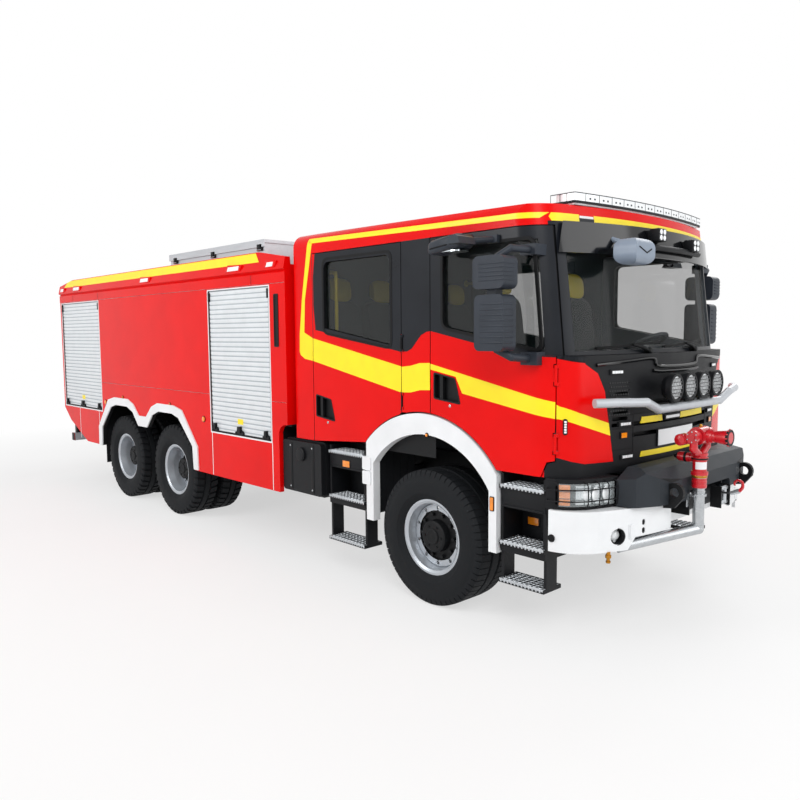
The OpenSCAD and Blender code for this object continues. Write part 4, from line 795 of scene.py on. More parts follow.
def grille_dress():
    """Yellow strips, strobe and turn lamps and a blank number plate on the black panel."""
    stripes = Form(YELLOW)
    for low, high in GRILLE_STRIPES:
        bent_strip(stripes, low, high, panel, 0.004, 0.003, lean=0.012)
    stripes.done("grille_stripes", "chassis", "plastic_black")
    lights = Form(PLASTIC)
    for y, z in STROBES:
        for s in (-1, 1):
            low, high = (s * y - 0.066, z - 0.017), (s * y + 0.066, z + 0.017)
            bent_strip(lights.paint(PLASTIC), low, high, panel, 0.004, 0.012, 4)
            for k in range(4):
                u = s * y - 0.052 + 0.026 * k
                low, high = (u + 0.002, z - 0.009), (u + 0.024, z + 0.009)
                bent_strip(lights.paint(LED), low, high, panel, 0.0, 0.0145, 1)
    for y in (-TURN_LAMP_Y, TURN_LAMP_Y):
        bent_strip(lights.paint(PLASTIC), (y - 0.032, 1.378), (y + 0.032, 1.424), panel, 0.004, 0.01, 2)
        bent_strip(lights.paint(AMBER), (y - 0.026, 1.384), (y + 0.026, 1.418), panel, 0.0, 0.014, 2)
    bent_strip(lights.paint(PLASTIC), (-0.185, 1.472), (0.04, 1.508), panel, 0.004, 0.012, 4)
    bent_strip(lights.paint(LED), (-0.17, 1.48), (0.025, 1.5), panel, 0.0, 0.015, 4)
    lights.done("grille_lights", "chassis", "plastic_black")
    plate = Form(PLASTIC)
    bent_strip(plate, (-0.272, 1.285), (0.262, 1.412), panel, 0.003, 0.01, 4)
    bent_strip(plate.paint(WHITE), (-0.265, 1.292), (0.255, 1.405), panel, 0.0, 0.0125, 4)
    plate.done("number_plate", "chassis", "plastic_black")


def corner_lamps():
    """An upright strip of LEDs on each front corner of the cab."""
    y, low, high = CORNER_LAMP
    slope = (panel(y + 0.005) - panel(y - 0.005)) / 0.01
    out = Vector((1, -slope, 0)).normalized()
    along = Vector((-out.y, out.x, 0))

    def place(u, v, w):
        return Vector((panel(y), y, v)) + along * u + out * w

    form = Form(PLASTIC)
    form.prism(rounded((-0.0145, low), (0.0145, high), 0.012), -0.006, 0.009, place)
    pitch = (high - low - 0.02) / 5
    for k in range(5):
        foot = low + 0.012 + pitch * k
        field = rounded((-0.008, foot), (0.008, foot + pitch - 0.004), 0.004)
        form.paint(LED).prism(field, 0.006, 0.0115, place)
    form.mirror().done("corner_lamps", "chassis", "lamp_clear")


def grille_mesh():
    """Rows of raised drops on the outer panels, dark gap lines round them and across the middle, and the
    garnish bar under the cowl.
    """
    drops = Form(GLOSS)
    (start_y, start_z), (pitch_y, pitch_z), count = DROPS
    for row in range(count):
        odd = row % 2
        for column in range(count - odd):
            centre = (start_y - pitch_y * (column + 0.5 * odd), start_z + pitch_z * row)
            bent(drops, circle(centre, 0.0085, 6, 0.8), panel, 0.002, 0.003)
    drops.mirror().done("grille_mesh", "chassis", "plastic_black")
    gaps = Form(SEAL)
    for z in (1.535, 1.445, 1.3):
        bent_strip(gaps, (-0.76, z), (-0.555, z + 0.006), panel, 0.004, 0.0015, 4)
    bent_strip(gaps, (-0.553, 1.24), (-0.546, 1.535), panel, 0.004, 0.0015, 1)
    gaps.mirror()
    bent_strip(gaps, (-0.54, 1.536), (0.54, 1.542), panel, 0.004, 0.0015, 10)
    gaps.done("grille_gaps", "chassis", "plastic_black")
    garnish = Form(GLOSS)
    for route in GARNISH:
        line = [(panel(p.x) + 0.004, p.x, p.y) for p in smooth([Vector(q) for q in route], 5)]
        garnish.tube(line, 0.013, 8)
    garnish.done("cowl_garnish", "chassis", "plastic_black")


def wipers():
    """Two parked blades on arms from pivots in the cowl."""
    form = Form(SEAL)
    for start, end, pivot in WIPERS:
        rows = []
        for k in range(9):
            t = k / 8
            y = start[0] + (end[0] - start[0]) * t
            z = start[1] + (end[1] - start[1]) * t
            rows.append((screen(y, z), y, z))
        form.sweep([[(x + dx, y, z + dz) for dx, dz in WIPER_SECTION] for x, y, z in rows])
        middle = Vector(rows[4]) + Vector((0.036, 0, 0))
        foot = Vector((screen(*pivot) + 0.03, *pivot))
        form.tube(smooth([foot, foot.lerp(middle, 0.5) + Vector((0.018, 0, 0)), middle], 6), 0.012, 8, 0.008)
        form.lathe([(-0.05, 0.024), (0.012, 0.024), (0.02, 0.016)], foot, (1, 0, 0.15), 14)
    form.done("wipers", "chassis", "plastic_black")


def visor_dress():
    """Two square work lamps and a dark tube on the visor; the crease and the glass of the front mirror."""
    lamps = Form(PLASTIC)
    for y, z in VISOR_LAMPS:
        face = visor(y, z) + 0.085
        lamps.paint(PLASTIC).box((face - 0.075, y - 0.055, z - 0.045), (face, y + 0.055, z + 0.045), 0.008)
        stay = [(face - 0.1, y, z - 0.03), (face - 0.05, y, z - 0.052), (face - 0.04, y, z - 0.04)]
        lamps.tube(stay, 0.014, 8)
        cell = [(-0.004, 0.0185), (0.002, 0.0185), (0.005, 0.012)]
        for dy, dz in ((-0.024, -0.02), (0.024, -0.02), (-0.024, 0.02), (0.024, 0.02)):
            lamps.paint(LED).lathe(cell, (face, y + dy, z + dz), AHEAD, 12)
        for k in range(4):
            lamps.paint(PLASTIC).box((face - 0.095, y - 0.045 + 0.026 * k, z - 0.035),
                                     (face - 0.07, y - 0.035 + 0.026 * k, z + 0.035), 0.002)
    lamps.done("visor_lamps", "chassis", "lamp_clear")
    tube = Form(PLASTIC)
    line = [(visor(y, VISOR_TUBE_Z) + 0.03, y, VISOR_TUBE_Z)
            for y in (VISOR_TUBE_Y + 0.1 * k for k in range(9))]
    tube.tube(line, 0.021, 14)
    for k in (1, 4, 7):
        x, y, z = line[k]
        tube.box((x - 0.05, y - 0.014, z - 0.016), (x, y + 0.014, z + 0.016), 0.004)
    tube.done("visor_tube", "chassis", "plastic_black")
    crease = Form(SEAL)
    x, y, z = FRONT_MIRROR_FACE
    crease.tube([(x, y - 0.085, z + 0.022), (x, y + 0.015, z - 0.014), (x, y + 0.075, z + 0.014)], 0.0045, 6)
    pane = rounded((y - 0.1, z - 0.06), (y + 0.1, z + 0.055), 0.045)
    crease.paint(MIRROR_GLASS).prism(pane, x - 0.1675, x - 0.1635, front)
    crease.done("front_mirror_crease", "chassis", "plastic_black")


CORNER_LAMP = (-1.13, 1.435, 1.54)
GRILLE_STRIPES = [((-0.47, 1.468), (-0.2, 1.512)), ((0.055, 1.468), (0.47, 1.512)),
                  ((-0.47, 1.232), (0.47, 1.27))]
TURN_LAMP_Y = 0.657
STROBES = [(0.734, 1.834), (0.644, 1.478), (0.62, 1.252)]
# First drop (y, z), pitch along y and z, and number in a row
DROPS = ((-0.6, 1.545), (0.024, 0.027), 9)
GARNISH = [[(-0.92, 1.885), (-0.6, 1.905), (-0.34, 1.915), (-0.26, 1.86), (0.26, 1.86), (0.34, 1.915),
            (0.6, 1.905), (0.92, 1.885)],
           [(-0.34, 1.83), (-0.2, 1.822), (0.2, 1.822), (0.34, 1.83)]]
WIPERS = [((-0.84, 1.995), (-0.14, 2.03), (-0.3, 1.968)), ((-0.08, 1.995), (0.6, 2.03), (0.42, 1.968))]
WIPER_SECTION = [(0.003, -0.006), (0.026, -0.011), (0.03, 0.008), (0.003, 0.006)]
VISOR_LAMPS = [(-0.24, 2.776), (0.276, 2.737)]
VISOR_TUBE_Y, VISOR_TUBE_Z = -0.339, 2.69
FRONT_MIRROR_FACE = (1.4655, -0.65, 2.632)
grille_dress()
corner_lamps()
grille_mesh()
wipers()
visor_dress()


# Spot lamps, headlamps, bumper, light bar


def spot_lamp_dress():
    """White lenses behind black masks with rows of upright holes."""
    form = Form(LED)
    for y in SPOT_LAMP_Y:
        x, z = SPOT_LAMP_FACE
        lens = [(-0.01, 0.084), (0.002, 0.084), (0.006, 0.06), (0.008, 0.02), (0.008, 0.0)]
        form.paint(LED).lathe(lens, (x, y, z), AHEAD, 28)
        form.paint(PLASTIC)
        outer, inner = circle((y, z), 0.097, 28), circle((y, z), 0.08, 28)
        ring_prism(form, outer, inner, x - 0.004, x + 0.013, front)
        for row in range(6):
            height = z - 0.0625 + 0.025 * row
            reach = math.sqrt(0.084**2 - (height - z) ** 2)
            form.box((x + 0.008, y - reach, height - 0.0035), (x + 0.012, y + reach, height + 0.0035), 0.001)
            for k in range(-3, 4):
                offset = 0.022 * k + (0.011 if row % 2 else 0)
                top = height + 0.025
                if abs(offset) < math.sqrt(max(0, 0.082**2 - max(abs(height - z), abs(top - z)) ** 2)):
                    u = y + offset
                    form.box((x + 0.008, u - 0.0035, height), (x + 0.012, u + 0.0035, top), 0.001)
    form.done("spot_lamp_masks", "chassis", "lamp_clear")


def lamp_line(stand, reach=0.0):
    """The headlamp's plan line, moved outward by stand; reach brings its inner end nearer to the middle."""
    return wrapped(LAMP_FACE, LAMP_HALF, LAMP_CORNER, LAMP_BOW, LAMP_INNER - reach, LAMP_STATIONS, stand)


def upright(face, back, z0, z1):
    """Section of a thin upright plate between two plan points."""
    return [(*back, z0), (*face, z0), (*face, z1), (*back, z1)]


def headlamp_dress():
    """Reflectors, amber segments, clear cover and wire guard that follow the rounded lamp."""
    low, high = LAMP_RISE
    skin, cover, guard = lamp_line(0.001), lamp_line(0.008), lamp_line(0.03, reach=0.03)
    last = LAMP_FIELD_END

    def band(form, first, final, z0, z1, stand):
        """A plate between two stations of the lamp's plan line."""
        line, back = lamp_line(stand)[first : final + 1], skin[first : final + 1]
        form.sweep([upright(a, b, z0, z1) for a, b in zip(line, back)])

    form = Form(PLASTIC)
    band(form, 0, last, low, high, 0.002)
    form.paint(CHROME)
    for first, final in ((1, 4), (5, 8), (LAMP_STATIONS, last - 3)):
        band(form, first, final, low + 0.013, high - 0.012, 0.004)
    form.paint(LED)
    for station, radius in ((3, 0.05), (7, 0.05), (10, 0.034)):
        x, y = skin[station]
        ahead = AHEAD if station < LAMP_STATIONS else (0.8, -0.6, 0)
        bowl = [(0.002, radius), (0.006, radius * 0.95), (0.009, radius * 0.6), (0.01, 0.0)]
        form.lathe(bowl, (x, y, LAMP_BULB_Z), ahead, 20)
    form.paint(AMBER)
    for k in range(3):
        z = 0.98 + 0.047 * k
        band(form, last - 2, last, z, z + 0.041, 0.006)
    form.mirror().done("headlamp_lights", "chassis", "lamp_clear")
    lens = Form(CLEAR)
    lens.sweep([upright(a, b, low, high) for a, b in zip(cover[: last + 1], lamp_line(0.0065))])
    lens.mirror().done("headlamp_covers", "chassis", "lamp_clear")
    wire = Form(PLASTIC)
    for z in (1.01, 1.085):
        wire.tube([(x, y, z) for x, y in guard[: last + 3]], 0.0045, 6)
        for station in (0, last + 2):
            x, y = guard[station]
            wire.tube([(x, y, z), (skin[station][0] - 0.01, skin[station][1] + 0.008, z)], 0.005, 6)
    for station in (1, 4, 7, 10, last):
        x, y = guard[station]
        bow = [(x - 0.03, y, low - 0.012), (x, y, low + 0.012), (x, y, high - 0.012),
               (x - 0.03, y, high + 0.012)]
        wire.tube(smooth(bow, 4), 0.0045, 6)
    wire.mirror().done("headlamp_guards", "chassis", "plastic_black")


def bumper_dress():
    """Fog lamps, blanking caps, two cable holes a side and the drain cock."""
    form = Form(PLASTIC)
    for s in (-1, 1):
        x, y, z = bumper(FOG[0]) - 0.004, s * FOG[0], FOG[1]
        ahead = Vector((0.829, s * 0.559, 0))
        centre = Vector((x, y, z))
        cup = [(-0.055, 0.05), (-0.03, 0.056), (0.003, 0.058), (0.004, 0.053), (-0.052, 0.046)]
        form.paint(PLASTIC).lathe(cup, centre, ahead, 28)
        form.paint(SEAL).lathe([(-0.055, 0.05), (-0.05, 0.047), (-0.046, 0.036)], centre, ahead, 24)
        bulb = [(-0.05, 0.038), (-0.045, 0.037), (-0.034, 0.022), (-0.031, 0)]
        form.paint(LED).lathe(bulb, centre, ahead, 24)
        for z in CABLE_HOLES:
            # Painted shade: a black plate 3 mm inside each cable hole stands for the dark inside of the hole
            bent(form.paint(SEAL), circle((s * 0.72, z), 0.0125, 16, 1.55), bumper, 0.02, -0.003)
        x, y, z = BLANK_CAP
        form.paint(SEAL).lathe([(-0.004, 0.026), (0.003, 0.025), (0.004, 0.02)], (x, s * y, z), (0, s, 0), 20)
    cock = [(0, 0.014), (0.02, 0.014), (0.022, 0.02), (0.04, 0.02), (0.042, 0.012), (0.06, 0.012),
            (0.062, 0.017), (0.075, 0.015)]
    form.paint(BRASS).lathe(cock, DRAIN, (0, 0, -1), 12)
    form.done("bumper_fittings", "chassis", "plastic_black")


def light_bar_face(y):
    """The light bar's front at distance y from the middle."""
    x = BAR_FRONT - BAR_BOW + math.sqrt(BAR_BOW * BAR_BOW - y * y)
    past = abs(y) - BAR_HALF + BAR_CORNER
    if past <= 0:
        return x
    return min(x, BAR_FRONT - BAR_CORNER + math.sqrt(BAR_CORNER * BAR_CORNER - past * past))


def light_bar_dress():
    """Dark foot, grey rim and module joints of the roof light bar."""
    form = Form(PLASTIC)
    low, high = LIGHT_BAR_Z
    for start, end in ((-0.9185, -0.88), (-0.88, 0.88), (0.88, 0.9185)):
        bent_strip(form.paint(PLASTIC), (start, low - 0.001), (end, low + 0.016),
                   light_bar_face, 0.006, 0.0015, 24)
        bent_strip(form.paint(MIRROR_GREY), (start, high - 0.005), (end, high + 0.0005),
                   light_bar_face, 0.006, 0.0012, 24)
    for s in (-1, 1):
        y, (x0, x1) = s * BAR_HALF, BAR_END_X
        form.paint(PLASTIC).box((x0, y - 0.0015, low - 0.001), (x1, y + 0.0015, low + 0.016), 0.0006)
        form.paint(MIRROR_GREY).box((x0, y - 0.0015, high - 0.005), (x1, y + 0.0015, high + 0.0005), 0.0006)
        for x in (x0, 0.975, 1.03):
            form.box((x, y - 0.0013, low + 0.014), (x + 0.003, y + 0.0013, high - 0.004), 0.0005)
    form.paint(GREY)
    for k in range(-6, 7):
        y = BAR_MODULE * k
        bent_strip(form, (y - 0.002, low + 0.017), (y + 0.002, high - 0.006), light_bar_face, 0.004, 0.001, 1)
        for dy in (0.045, 0.091):
            bent_strip(form, (y + dy - 0.008, low + 0.03), (y + dy + 0.008, low + 0.042),
                       light_bar_face, 0.004, 0.0006, 1)
    form.done("light_bar_joints", "chassis", "plastic_white")


SPOT_LAMP_FACE = (1.53, 1.717)
SPOT_LAMP_Y = [0.214 * k for k in (-1.5, -0.5, 0.5, 1.5)]
LAMP_HALF, LAMP_CORNER, LAMP_BOW, LAMP_INNER = 1.211, 0.26, 3.0, 0.86
LAMP_STATIONS, LAMP_FIELD_END = 9, 15
LAMP_RISE, LAMP_BULB_Z = (0.972, 1.122), 1.048
FOG = (0.922, 0.769)
CABLE_HOLES = (0.79, 0.845)
BLANK_CAP = (1.154, 1.2315, 0.762)
DRAIN = (1.425, -0.98, 0.676)
LIGHT_BAR_Z = (2.959, 3.029)
BAR_FRONT, BAR_BOW, BAR_CORNER, BAR_HALF = 1.175, 5.2, 0.11, 0.92
BAR_END_X, BAR_MODULE = (0.9, 1.086), 0.136
spot_lamp_dress()
headlamp_dress()
bumper_dress()
light_bar_dress()


# Monitor and winch


def monitor_dress():
    """Coupling, brass ring, label, drive caps, bolts and the nozzle's ring."""
    x, y = MONITOR
    fixed = Form(RED_CAST)
    ribs = [(1.042, 0.047), (1.046, 0.0495), (1.06, 0.0495), (1.063, 0.0475), (1.072, 0.0475), (1.075, 0.0495),
            (1.089, 0.0495), (1.092, 0.0475), (1.1, 0.0475), (1.103, 0.0495), (1.11, 0.0495)]
    fixed.lathe(ribs, (x, y, 0), UP, 32)
    seat_ring = [(1.1125, 0.0508), (1.115, 0.0515), (1.126, 0.0515), (1.1285, 0.0508)]
    fixed.paint(BRASS).lathe(seat_ring, (x, y, 0), UP, 32)
    for dy in (-0.055, 0.055):
        hexagon(fixed.paint(STEEL), (x - 0.035, y + dy, 1.0), UP, 0.009, 0.01)
    for s in (-1, 1):
        fixed.paint(STEEL).prism([(y + s * u, z) for u, z in BRACKET_WEB], 1.6505, 1.659, front)
    for z in (0.79, 1.015):
        collar = [(z - 0.006, 0.0385), (z - 0.004, 0.0405), (z + 0.004, 0.0405), (z + 0.006, 0.0385)]
        fixed.paint(STEEL).lathe(collar, (x, y, 0), UP, 32)
    fixed.done("monitor_coupling", "chassis", "stainless")

    turning = Form(PLASTIC)
    turning.lathe([(1.2365, 0.0552), (1.239, 0.0565), (1.246, 0.0565), (1.2485, 0.0552)], (x, y, 0), UP, 32)
    label = []
    for k in range(13):
        a = math.radians(-100 + 9 * k)
        label.append([(x + r * math.cos(a), y + r * math.sin(a), z)
                      for r, z in oblong((0.0455, 1.172), (0.0468, 1.222))])
    turning.paint(WHITE).sweep(label)
    knob = [(0, 0.027), (0.008, 0.026), (0.01, 0.018), (0.03, 0.012), (0.032, 0.008)]
    turning.paint(PLASTIC).lathe(knob, (x - 0.15, y, DRIVE_Z), (-1, 0, 0), 20)
    ring = [(-0.004, 0.0342), (0.0, 0.0345), (0.012, 0.0345), (0.014, 0.0338)]
    turning.lathe(ring, (x - 0.1, y, DRIVE_Z), AHEAD, 24)
    cap = [(-0.002, 0.034), (0.01, 0.033), (0.014, 0.026), (0.016, 0.0)]
    turning.paint(RED_CAST).lathe(cap, (x - 0.078, y - 0.137, 1.375), RIGHT, 28)
    for s in (-1, 1):
        for u, v in circle((x, BARREL_Z), 0.034, 6, start=30):
            hexagon(turning.paint(STEEL), (u, y + s * 0.128, v), (0, s, 0), 0.0055, 0.006)
    turning.done("monitor_drive", "monitor_swivel", "paint_red")

    nozzle = Form(PLASTIC)
    mouth = [(-0.0165, 0.0545), (-0.014, 0.0562), (-0.004, 0.0562), (0.0008, 0.0535), (0.001, 0.04),
             (-0.001, 0.036), (-0.001, 0)]
    nozzle.lathe(mouth, (NOZZLE_TIP, y, BARREL_Z), AHEAD, 32)
    tooth = [(-0.014, 0.005), (-0.004, 0.005), (-0.003, 0.003)]
    for u, v in circle((y, BARREL_Z), 0.0555, 12):
        nozzle.paint(RED_CAST).lathe(tooth, (NOZZLE_TIP, u, v), AHEAD, 8)
    valve = [(0.0595, 0.014), (0.066, 0.014), (0.068, 0.01), (0.076, 0.008)]
    nozzle.paint(BRASS).lathe(valve, (x, y, BARREL_Z), UP, 14)
    nozzle.done("monitor_nozzle", "monitor_barrel", "paint_red")


def winch_dress():
    """Rope turns on the drum, the rope through the fairlead and its hook, the housing's edge bolts."""
    form = Form(HOSE)
    drum_x, drum_z = DRUM
    turn = [(-0.0085, 0.067), (-0.004, 0.0735), (0.004, 0.0735), (0.0085, 0.067)]
    for k in range(ROPE_TURNS):
        form.lathe(turn, (drum_x, -0.235 + ROPE_PITCH * k, drum_z), (0, 1, 0), 24)
    form.tube([(drum_x, 0.17, drum_z + 0.066), (1.66, 0.171, drum_z + 0.022), (1.73, 0.173, 0.932)], 0.008, 8)
    sleeve = [(1.725, 0.172, 0.93), (1.755, 0.174, 0.943), (1.785, 0.176, 0.955)]
    form.paint(ALLOY).tube(smooth(sleeve, 3), 0.014, 10, 0.018)
    hook = [(1.785, 0.176, 0.955), (1.805, 0.178, 0.985), (1.8, 0.18, 1.02), (1.77, 0.18, 1.03),
            (1.748, 0.179, 1.01), (1.75, 0.178, 0.99)]
    form.paint(RED_CAST).tube(smooth(hook, 5), 0.013, 10, 0.007)
    for s in (-1, 1):
        for y, x in ((0.5, 1.615), (0.62, 1.607)):
            hexagon(form.paint(STEEL), (x - 0.02, s * y, 1.132), (0.59, 0, 0.8), 0.008, 0.007)
    form.done("winch_rope", "chassis", "stainless")


MONITOR = tuple(JOINTS["monitor_yaw"]["pos_m"][k] - (AXLE_X, 0)[k] for k in (0, 1))
NOZZLE_TIP, BARREL_Z, DRIVE_Z = 1.91, 1.4, 1.2425
BRACKET_WEB = [(0.07, 0.9855), (0.07, 0.908), (0.054, 0.908), (0.05, 0.935), (0.04, 0.955), (0.024, 0.967),
               (0.004, 0.972), (0.004, 0.9855)]
DRUM = (1.54, 0.905)
ROPE_TURNS, ROPE_PITCH = 26, 0.0188
monitor_dress()
winch_dress()


# Steps, tanks, front mudflaps, side markers


def step_dress():
    """Perforated alloy treads with toothed edges, valances under the upper steps and amber reflectors."""
    form = Form(ALLOY)
    for x0, x1, *tops in STEPS:
        pitch, row_pitch = TREAD_PITCH
        columns = int((x1 - x0) / pitch) - 1
        for top in tops:
            low = (x0 + 0.006, STEP_EDGE - 0.002, top - 0.014)
            high = (x1 - 0.006, STEP_EDGE + 0.19, top + 0.003)
            form.paint(ALLOY).box(low, high, 0.0015)
            for row in range(TREAD_ROWS):
                for k in range(columns):
                    x = (x0 + x1) / 2 + pitch * (k - (columns - 1) / 2)
                    spot = (x, STEP_EDGE + 0.022 + row_pitch * row, top + 0.003)
                    form.paint(ALLOY).lathe([(0, 0.0175), (0.005, 0.016), (0.0035, 0.0149)], spot, UP, 10)
                    # Painted shade: a black disc in each ring stands for the dark hole through the tread
                    form.paint(SEAL).lathe([(0.003, 0.0148), (0.0046, 0.0144)], spot, UP, 10)
            for k in range(int((x1 - x0) / TOOTH_PITCH)):
                x = x0 + TOOTH_PITCH * (k + 0.5)
                form.paint(ALLOY).box((x, STEP_EDGE - 0.0045, top - 0.022),
                                      (x + 0.012, STEP_EDGE, top - 0.004), 0.001)
    form.mirror().done("step_treads", "chassis", "alloy")
    marks = Form(PLASTIC)
    for (x0, x1, top, *_), drop in zip(STEPS, STEP_VALANCES):
        face, foot = VALANCE_Y - 0.002, top - drop
        marks.paint(PLASTIC).box((x0 + 0.003, face, foot), (x1 - 0.003, face + 0.02, top - 0.024), 0.005)
        marks.box((x0 + 0.02, face - 0.005, foot + 0.006), (x1 - 0.02, face + 0.004, foot + 0.018), 0.003)
    for x, y, z in STEP_MARKS:
        marks.paint(PLASTIC).box((x - 0.055, y - 0.006, z - 0.036), (x + 0.055, y + 0.004, z + 0.036), 0.003)
        marks.paint(AMBER).box((x - 0.047, y - 0.009, z - 0.028), (x + 0.047, y, z + 0.028), 0.002)
    marks.mirror().done("step_reflectors", "chassis", "plastic_black")


def tank_dress():
    """Straps with bolts and a filler cap on the boxes behind the steps."""
    form = Form(PLASTIC)
    x0, x1, z0, z1, face = TANK
    bolt = [(0, 0.009), (0.006, 0.009), (0.008, 0.006)]
    for x in (x0 + 0.14, x1 - 0.14):
        low, high = (x - 0.022, -face - 0.003, z0 + 0.03), (x + 0.022, -face + 0.002, z1 - 0.03)
        form.paint(FRAME_BLACK).box(low, high, 0.001)
        for z in (z0 + 0.06, z1 - 0.06):
            form.paint(STEEL).lathe(bolt, (x, -face - 0.002, z), RIGHT, 6)
    cap = [(0, 0.062), (0.02, 0.062), (0.024, 0.055), (0.03, 0.05), (0.032, 0.03)]
    form.paint(PLASTIC).lathe(cap, ((x0 + x1) / 2, -face + 0.002, z1 - 0.13), RIGHT, 28)
    form.mirror().done("tank_fittings", "chassis", "plastic_black")


def front_mudflaps():
    """Rubber flaps with ribs and a clamp strip behind the front wheels, inside the fender's rear leg."""
    form = Form(RUBBER)
    (inner, low), (outer, high), x = FLAP
    form.prism(rounded((-outer, low), (-inner, high), 0.03), x - 0.005, x + 0.005, front)
    for k in range(5):
        y = -outer + (outer - inner) * (k + 1) / 6
        form.box((x + 0.003, y - 0.006, low + 0.05), (x + 0.009, y + 0.006, high - 0.09), 0.002)
    form.paint(FRAME_BLACK).box((x + 0.004, -outer + 0.01, high - 0.06),
                                (x + 0.01, -inner - 0.01, high - 0.02), 0.002)
    for k in range(4):
        y = -outer + (outer - inner) * (k + 0.5) / 4
        hexagon(form.paint(STEEL), (x + 0.009, y, high - 0.04), AHEAD, 0.009, 0.006)
    form.mirror().done("front_mudflaps", "chassis", "plastic_black")


def fender_dress():
    """Amber markers on the front fenders and round the rear arches."""
    form = Form(AMBER)
    for x, z, radius, face in MARKERS:
        centre = (x, -face, z)
        bezel = [(-0.004, radius + 0.007), (0.005, radius + 0.006), (0.006, radius)]
        form.paint(PLASTIC).lathe(bezel, centre, RIGHT, 20)
        dome = [(0.003, radius), (0.011, radius * 0.94), (0.015, radius * 0.5), (0.016, 0)]
        form.paint(AMBER).lathe(dome, centre, RIGHT, 20)
    low, high, face = FENDER_LAMP
    base = rounded([c - 0.006 for c in low], [c + 0.006 for c in high], 0.008)
    form.paint(PLASTIC).prism(base, face - 0.004, face + 0.005, side)
    form.paint(AMBER).prism(rounded(low, high, 0.006), face, face + 0.009, side)
    form.mirror().done("side_markers", "chassis", "plastic_black")


# Columns are x of the rear and front edges and heights of the three treads
STEPS = [(0.7, 1.082, 1.055, 0.655, 0.385), (-1.225, -0.745, 1.085, 0.69, 0.315)]
STEP_EDGE, STEP_RISER, VALANCE_Y = -1.207, -0.967, -1.19
TREAD_PITCH, TREAD_ROWS, TOOTH_PITCH = (0.042, 0.036), 5, 0.03
STEP_VALANCES = (0.16, 0.15)
STEP_MARKS = [(0.821, STEP_RISER, 0.768), (-0.99, VALANCE_Y, 0.985)]
# Rear, front, foot, top and distance from the middle
TANK = (-1.87, -1.262, 0.64, 1.14, 1.248)
# Columns are x, z, radius and distance from the middle
MARKERS = [(0.016, 1.334, 0.012, 1.226), (-5.895, 1.222, 0.028, 1.275), (-3.291, 1.2, 0.028, 1.275),
           (-5.349, 1.319, 0.012, 1.275), (-4.066, 1.312, 0.012, 1.275)]
FENDER_LAMP = ((0.638, 0.862), (0.666, 0.954), 1.226)
# Inner low corner, outer high corner and place behind the axle
FLAP = ((0.7, 0.6), (1.185, 1.3), -0.662)
step_dress()
tank_dress()
front_mudflaps()
fender_dress()


# Tyres: they take the place of the plain ones in the frame


def tyre_profile(half, lateral):
    """Half a tyre section as (width, radius, notch width, notch radius); lug grooves cut it to the notch."""
    k = half / 0.15
    plain = [(0.112, 0.291), (0.122, 0.3005), (0.1365, 0.326), (0.1455, 0.345), (0.1475, 0.348),
             (0.1495, 0.372), (0.15, 0.4), (0.1485, 0.425), (0.146, 0.452), (0.1445, 0.456), (0.1425, 0.478)]
    deep = 0.016 if lateral else 0.005
    lugs = [(0.1405, 0.494, 0.004), (0.136, 0.513, 0.007), (0.127, 0.526, 0.005), (0.1, 0.529, 0.0),
            (0.046, 0.53, 0.0)]
    groove = [(0.042, 0.515, 0.512), (0.03, 0.515, 0.512), (0.026, 0.53, 0.53)]
    rows = [(w * k, r, w * k, r) for w, r in plain]
    rows += [(w * k, r, (w - cut) * k, r - (deep if r > 0.5 else deep * 0.5)) for w, r, cut in lugs]
    return rows + [(w * k, r, w * k, notch) for w, r, notch in groove]


def add_tyre(form, axle_x, centre_y, half, lugs, lateral):
    """One tyre with staggered lugs; lateral tyres have open shoulder grooves, the others fine slits."""
    rows = tyre_profile(half, lateral)
    section = [(*row, 1) for row in rows] + [(-w, r, -nw, nr, -1) for w, r, nw, nr in reversed(rows)]
    pitch = 2 * math.pi / lugs
    open_share = 0.3 if lateral else 0.12
    marks = [(0, False), (1 - open_share - 0.05, False), (1 - open_share, True), (0.97, True)]
    points = []
    for lug in range(lugs):
        for share, notched in marks:
            for w, r, notch_w, notch_r, s in section:
                slant = 0.5 * (s < 0) + 0.35 * (1 - abs(w) / half)
                angle = pitch * (lug + share + slant)
                width, radius = (notch_w, notch_r) if notched else (w, r)
                radius = min(radius, TYRE_R - 0.0005)
                points.append((axle_x + radius * math.sin(angle), centre_y + width,
                               AXLE_Z + radius * math.cos(angle)))
    n, rings = len(section), lugs * len(marks)
    loops = [(k * n + i, k * n + (i + 1) % n, (k + 1) % rings * n + (i + 1) % n, (k + 1) % rings * n + i)
             for k in range(rings) for i in range(n)]
    form.faces(points, loops)


def tyres():
    """Single front tyres with fine slits and twin rear tyres with open shoulders."""
    steer = Form(RUBBER)
    add_tyre(steer, 0, -FRONT_TYRE[0], FRONT_TYRE[1], FRONT_LUGS, False)
    bmesh.ops.recalc_face_normals(steer.mesh, faces=steer.mesh.faces)
    for piece, s in zip(steer.pair("steer_tyre", "front_wheel", "tyre"), SIDES):
        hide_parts(f"front_tyre_{s}")
    for axle, x in (("lead", LEAD_X), ("trail", TRAIL_X)):
        twin = Form(RUBBER)
        for y in REAR_TYRE_Y:
            add_tyre(twin, x, -y, REAR_TYRE_HALF, REAR_LUGS, True)
        bmesh.ops.recalc_face_normals(twin.mesh, faces=twin.mesh.faces)
        for piece, s in zip(twin.pair(f"{axle}_tyre_pair", f"{axle}_wheels", "tyre"), SIDES):
            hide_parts(f"{axle}_tyres_{s}")


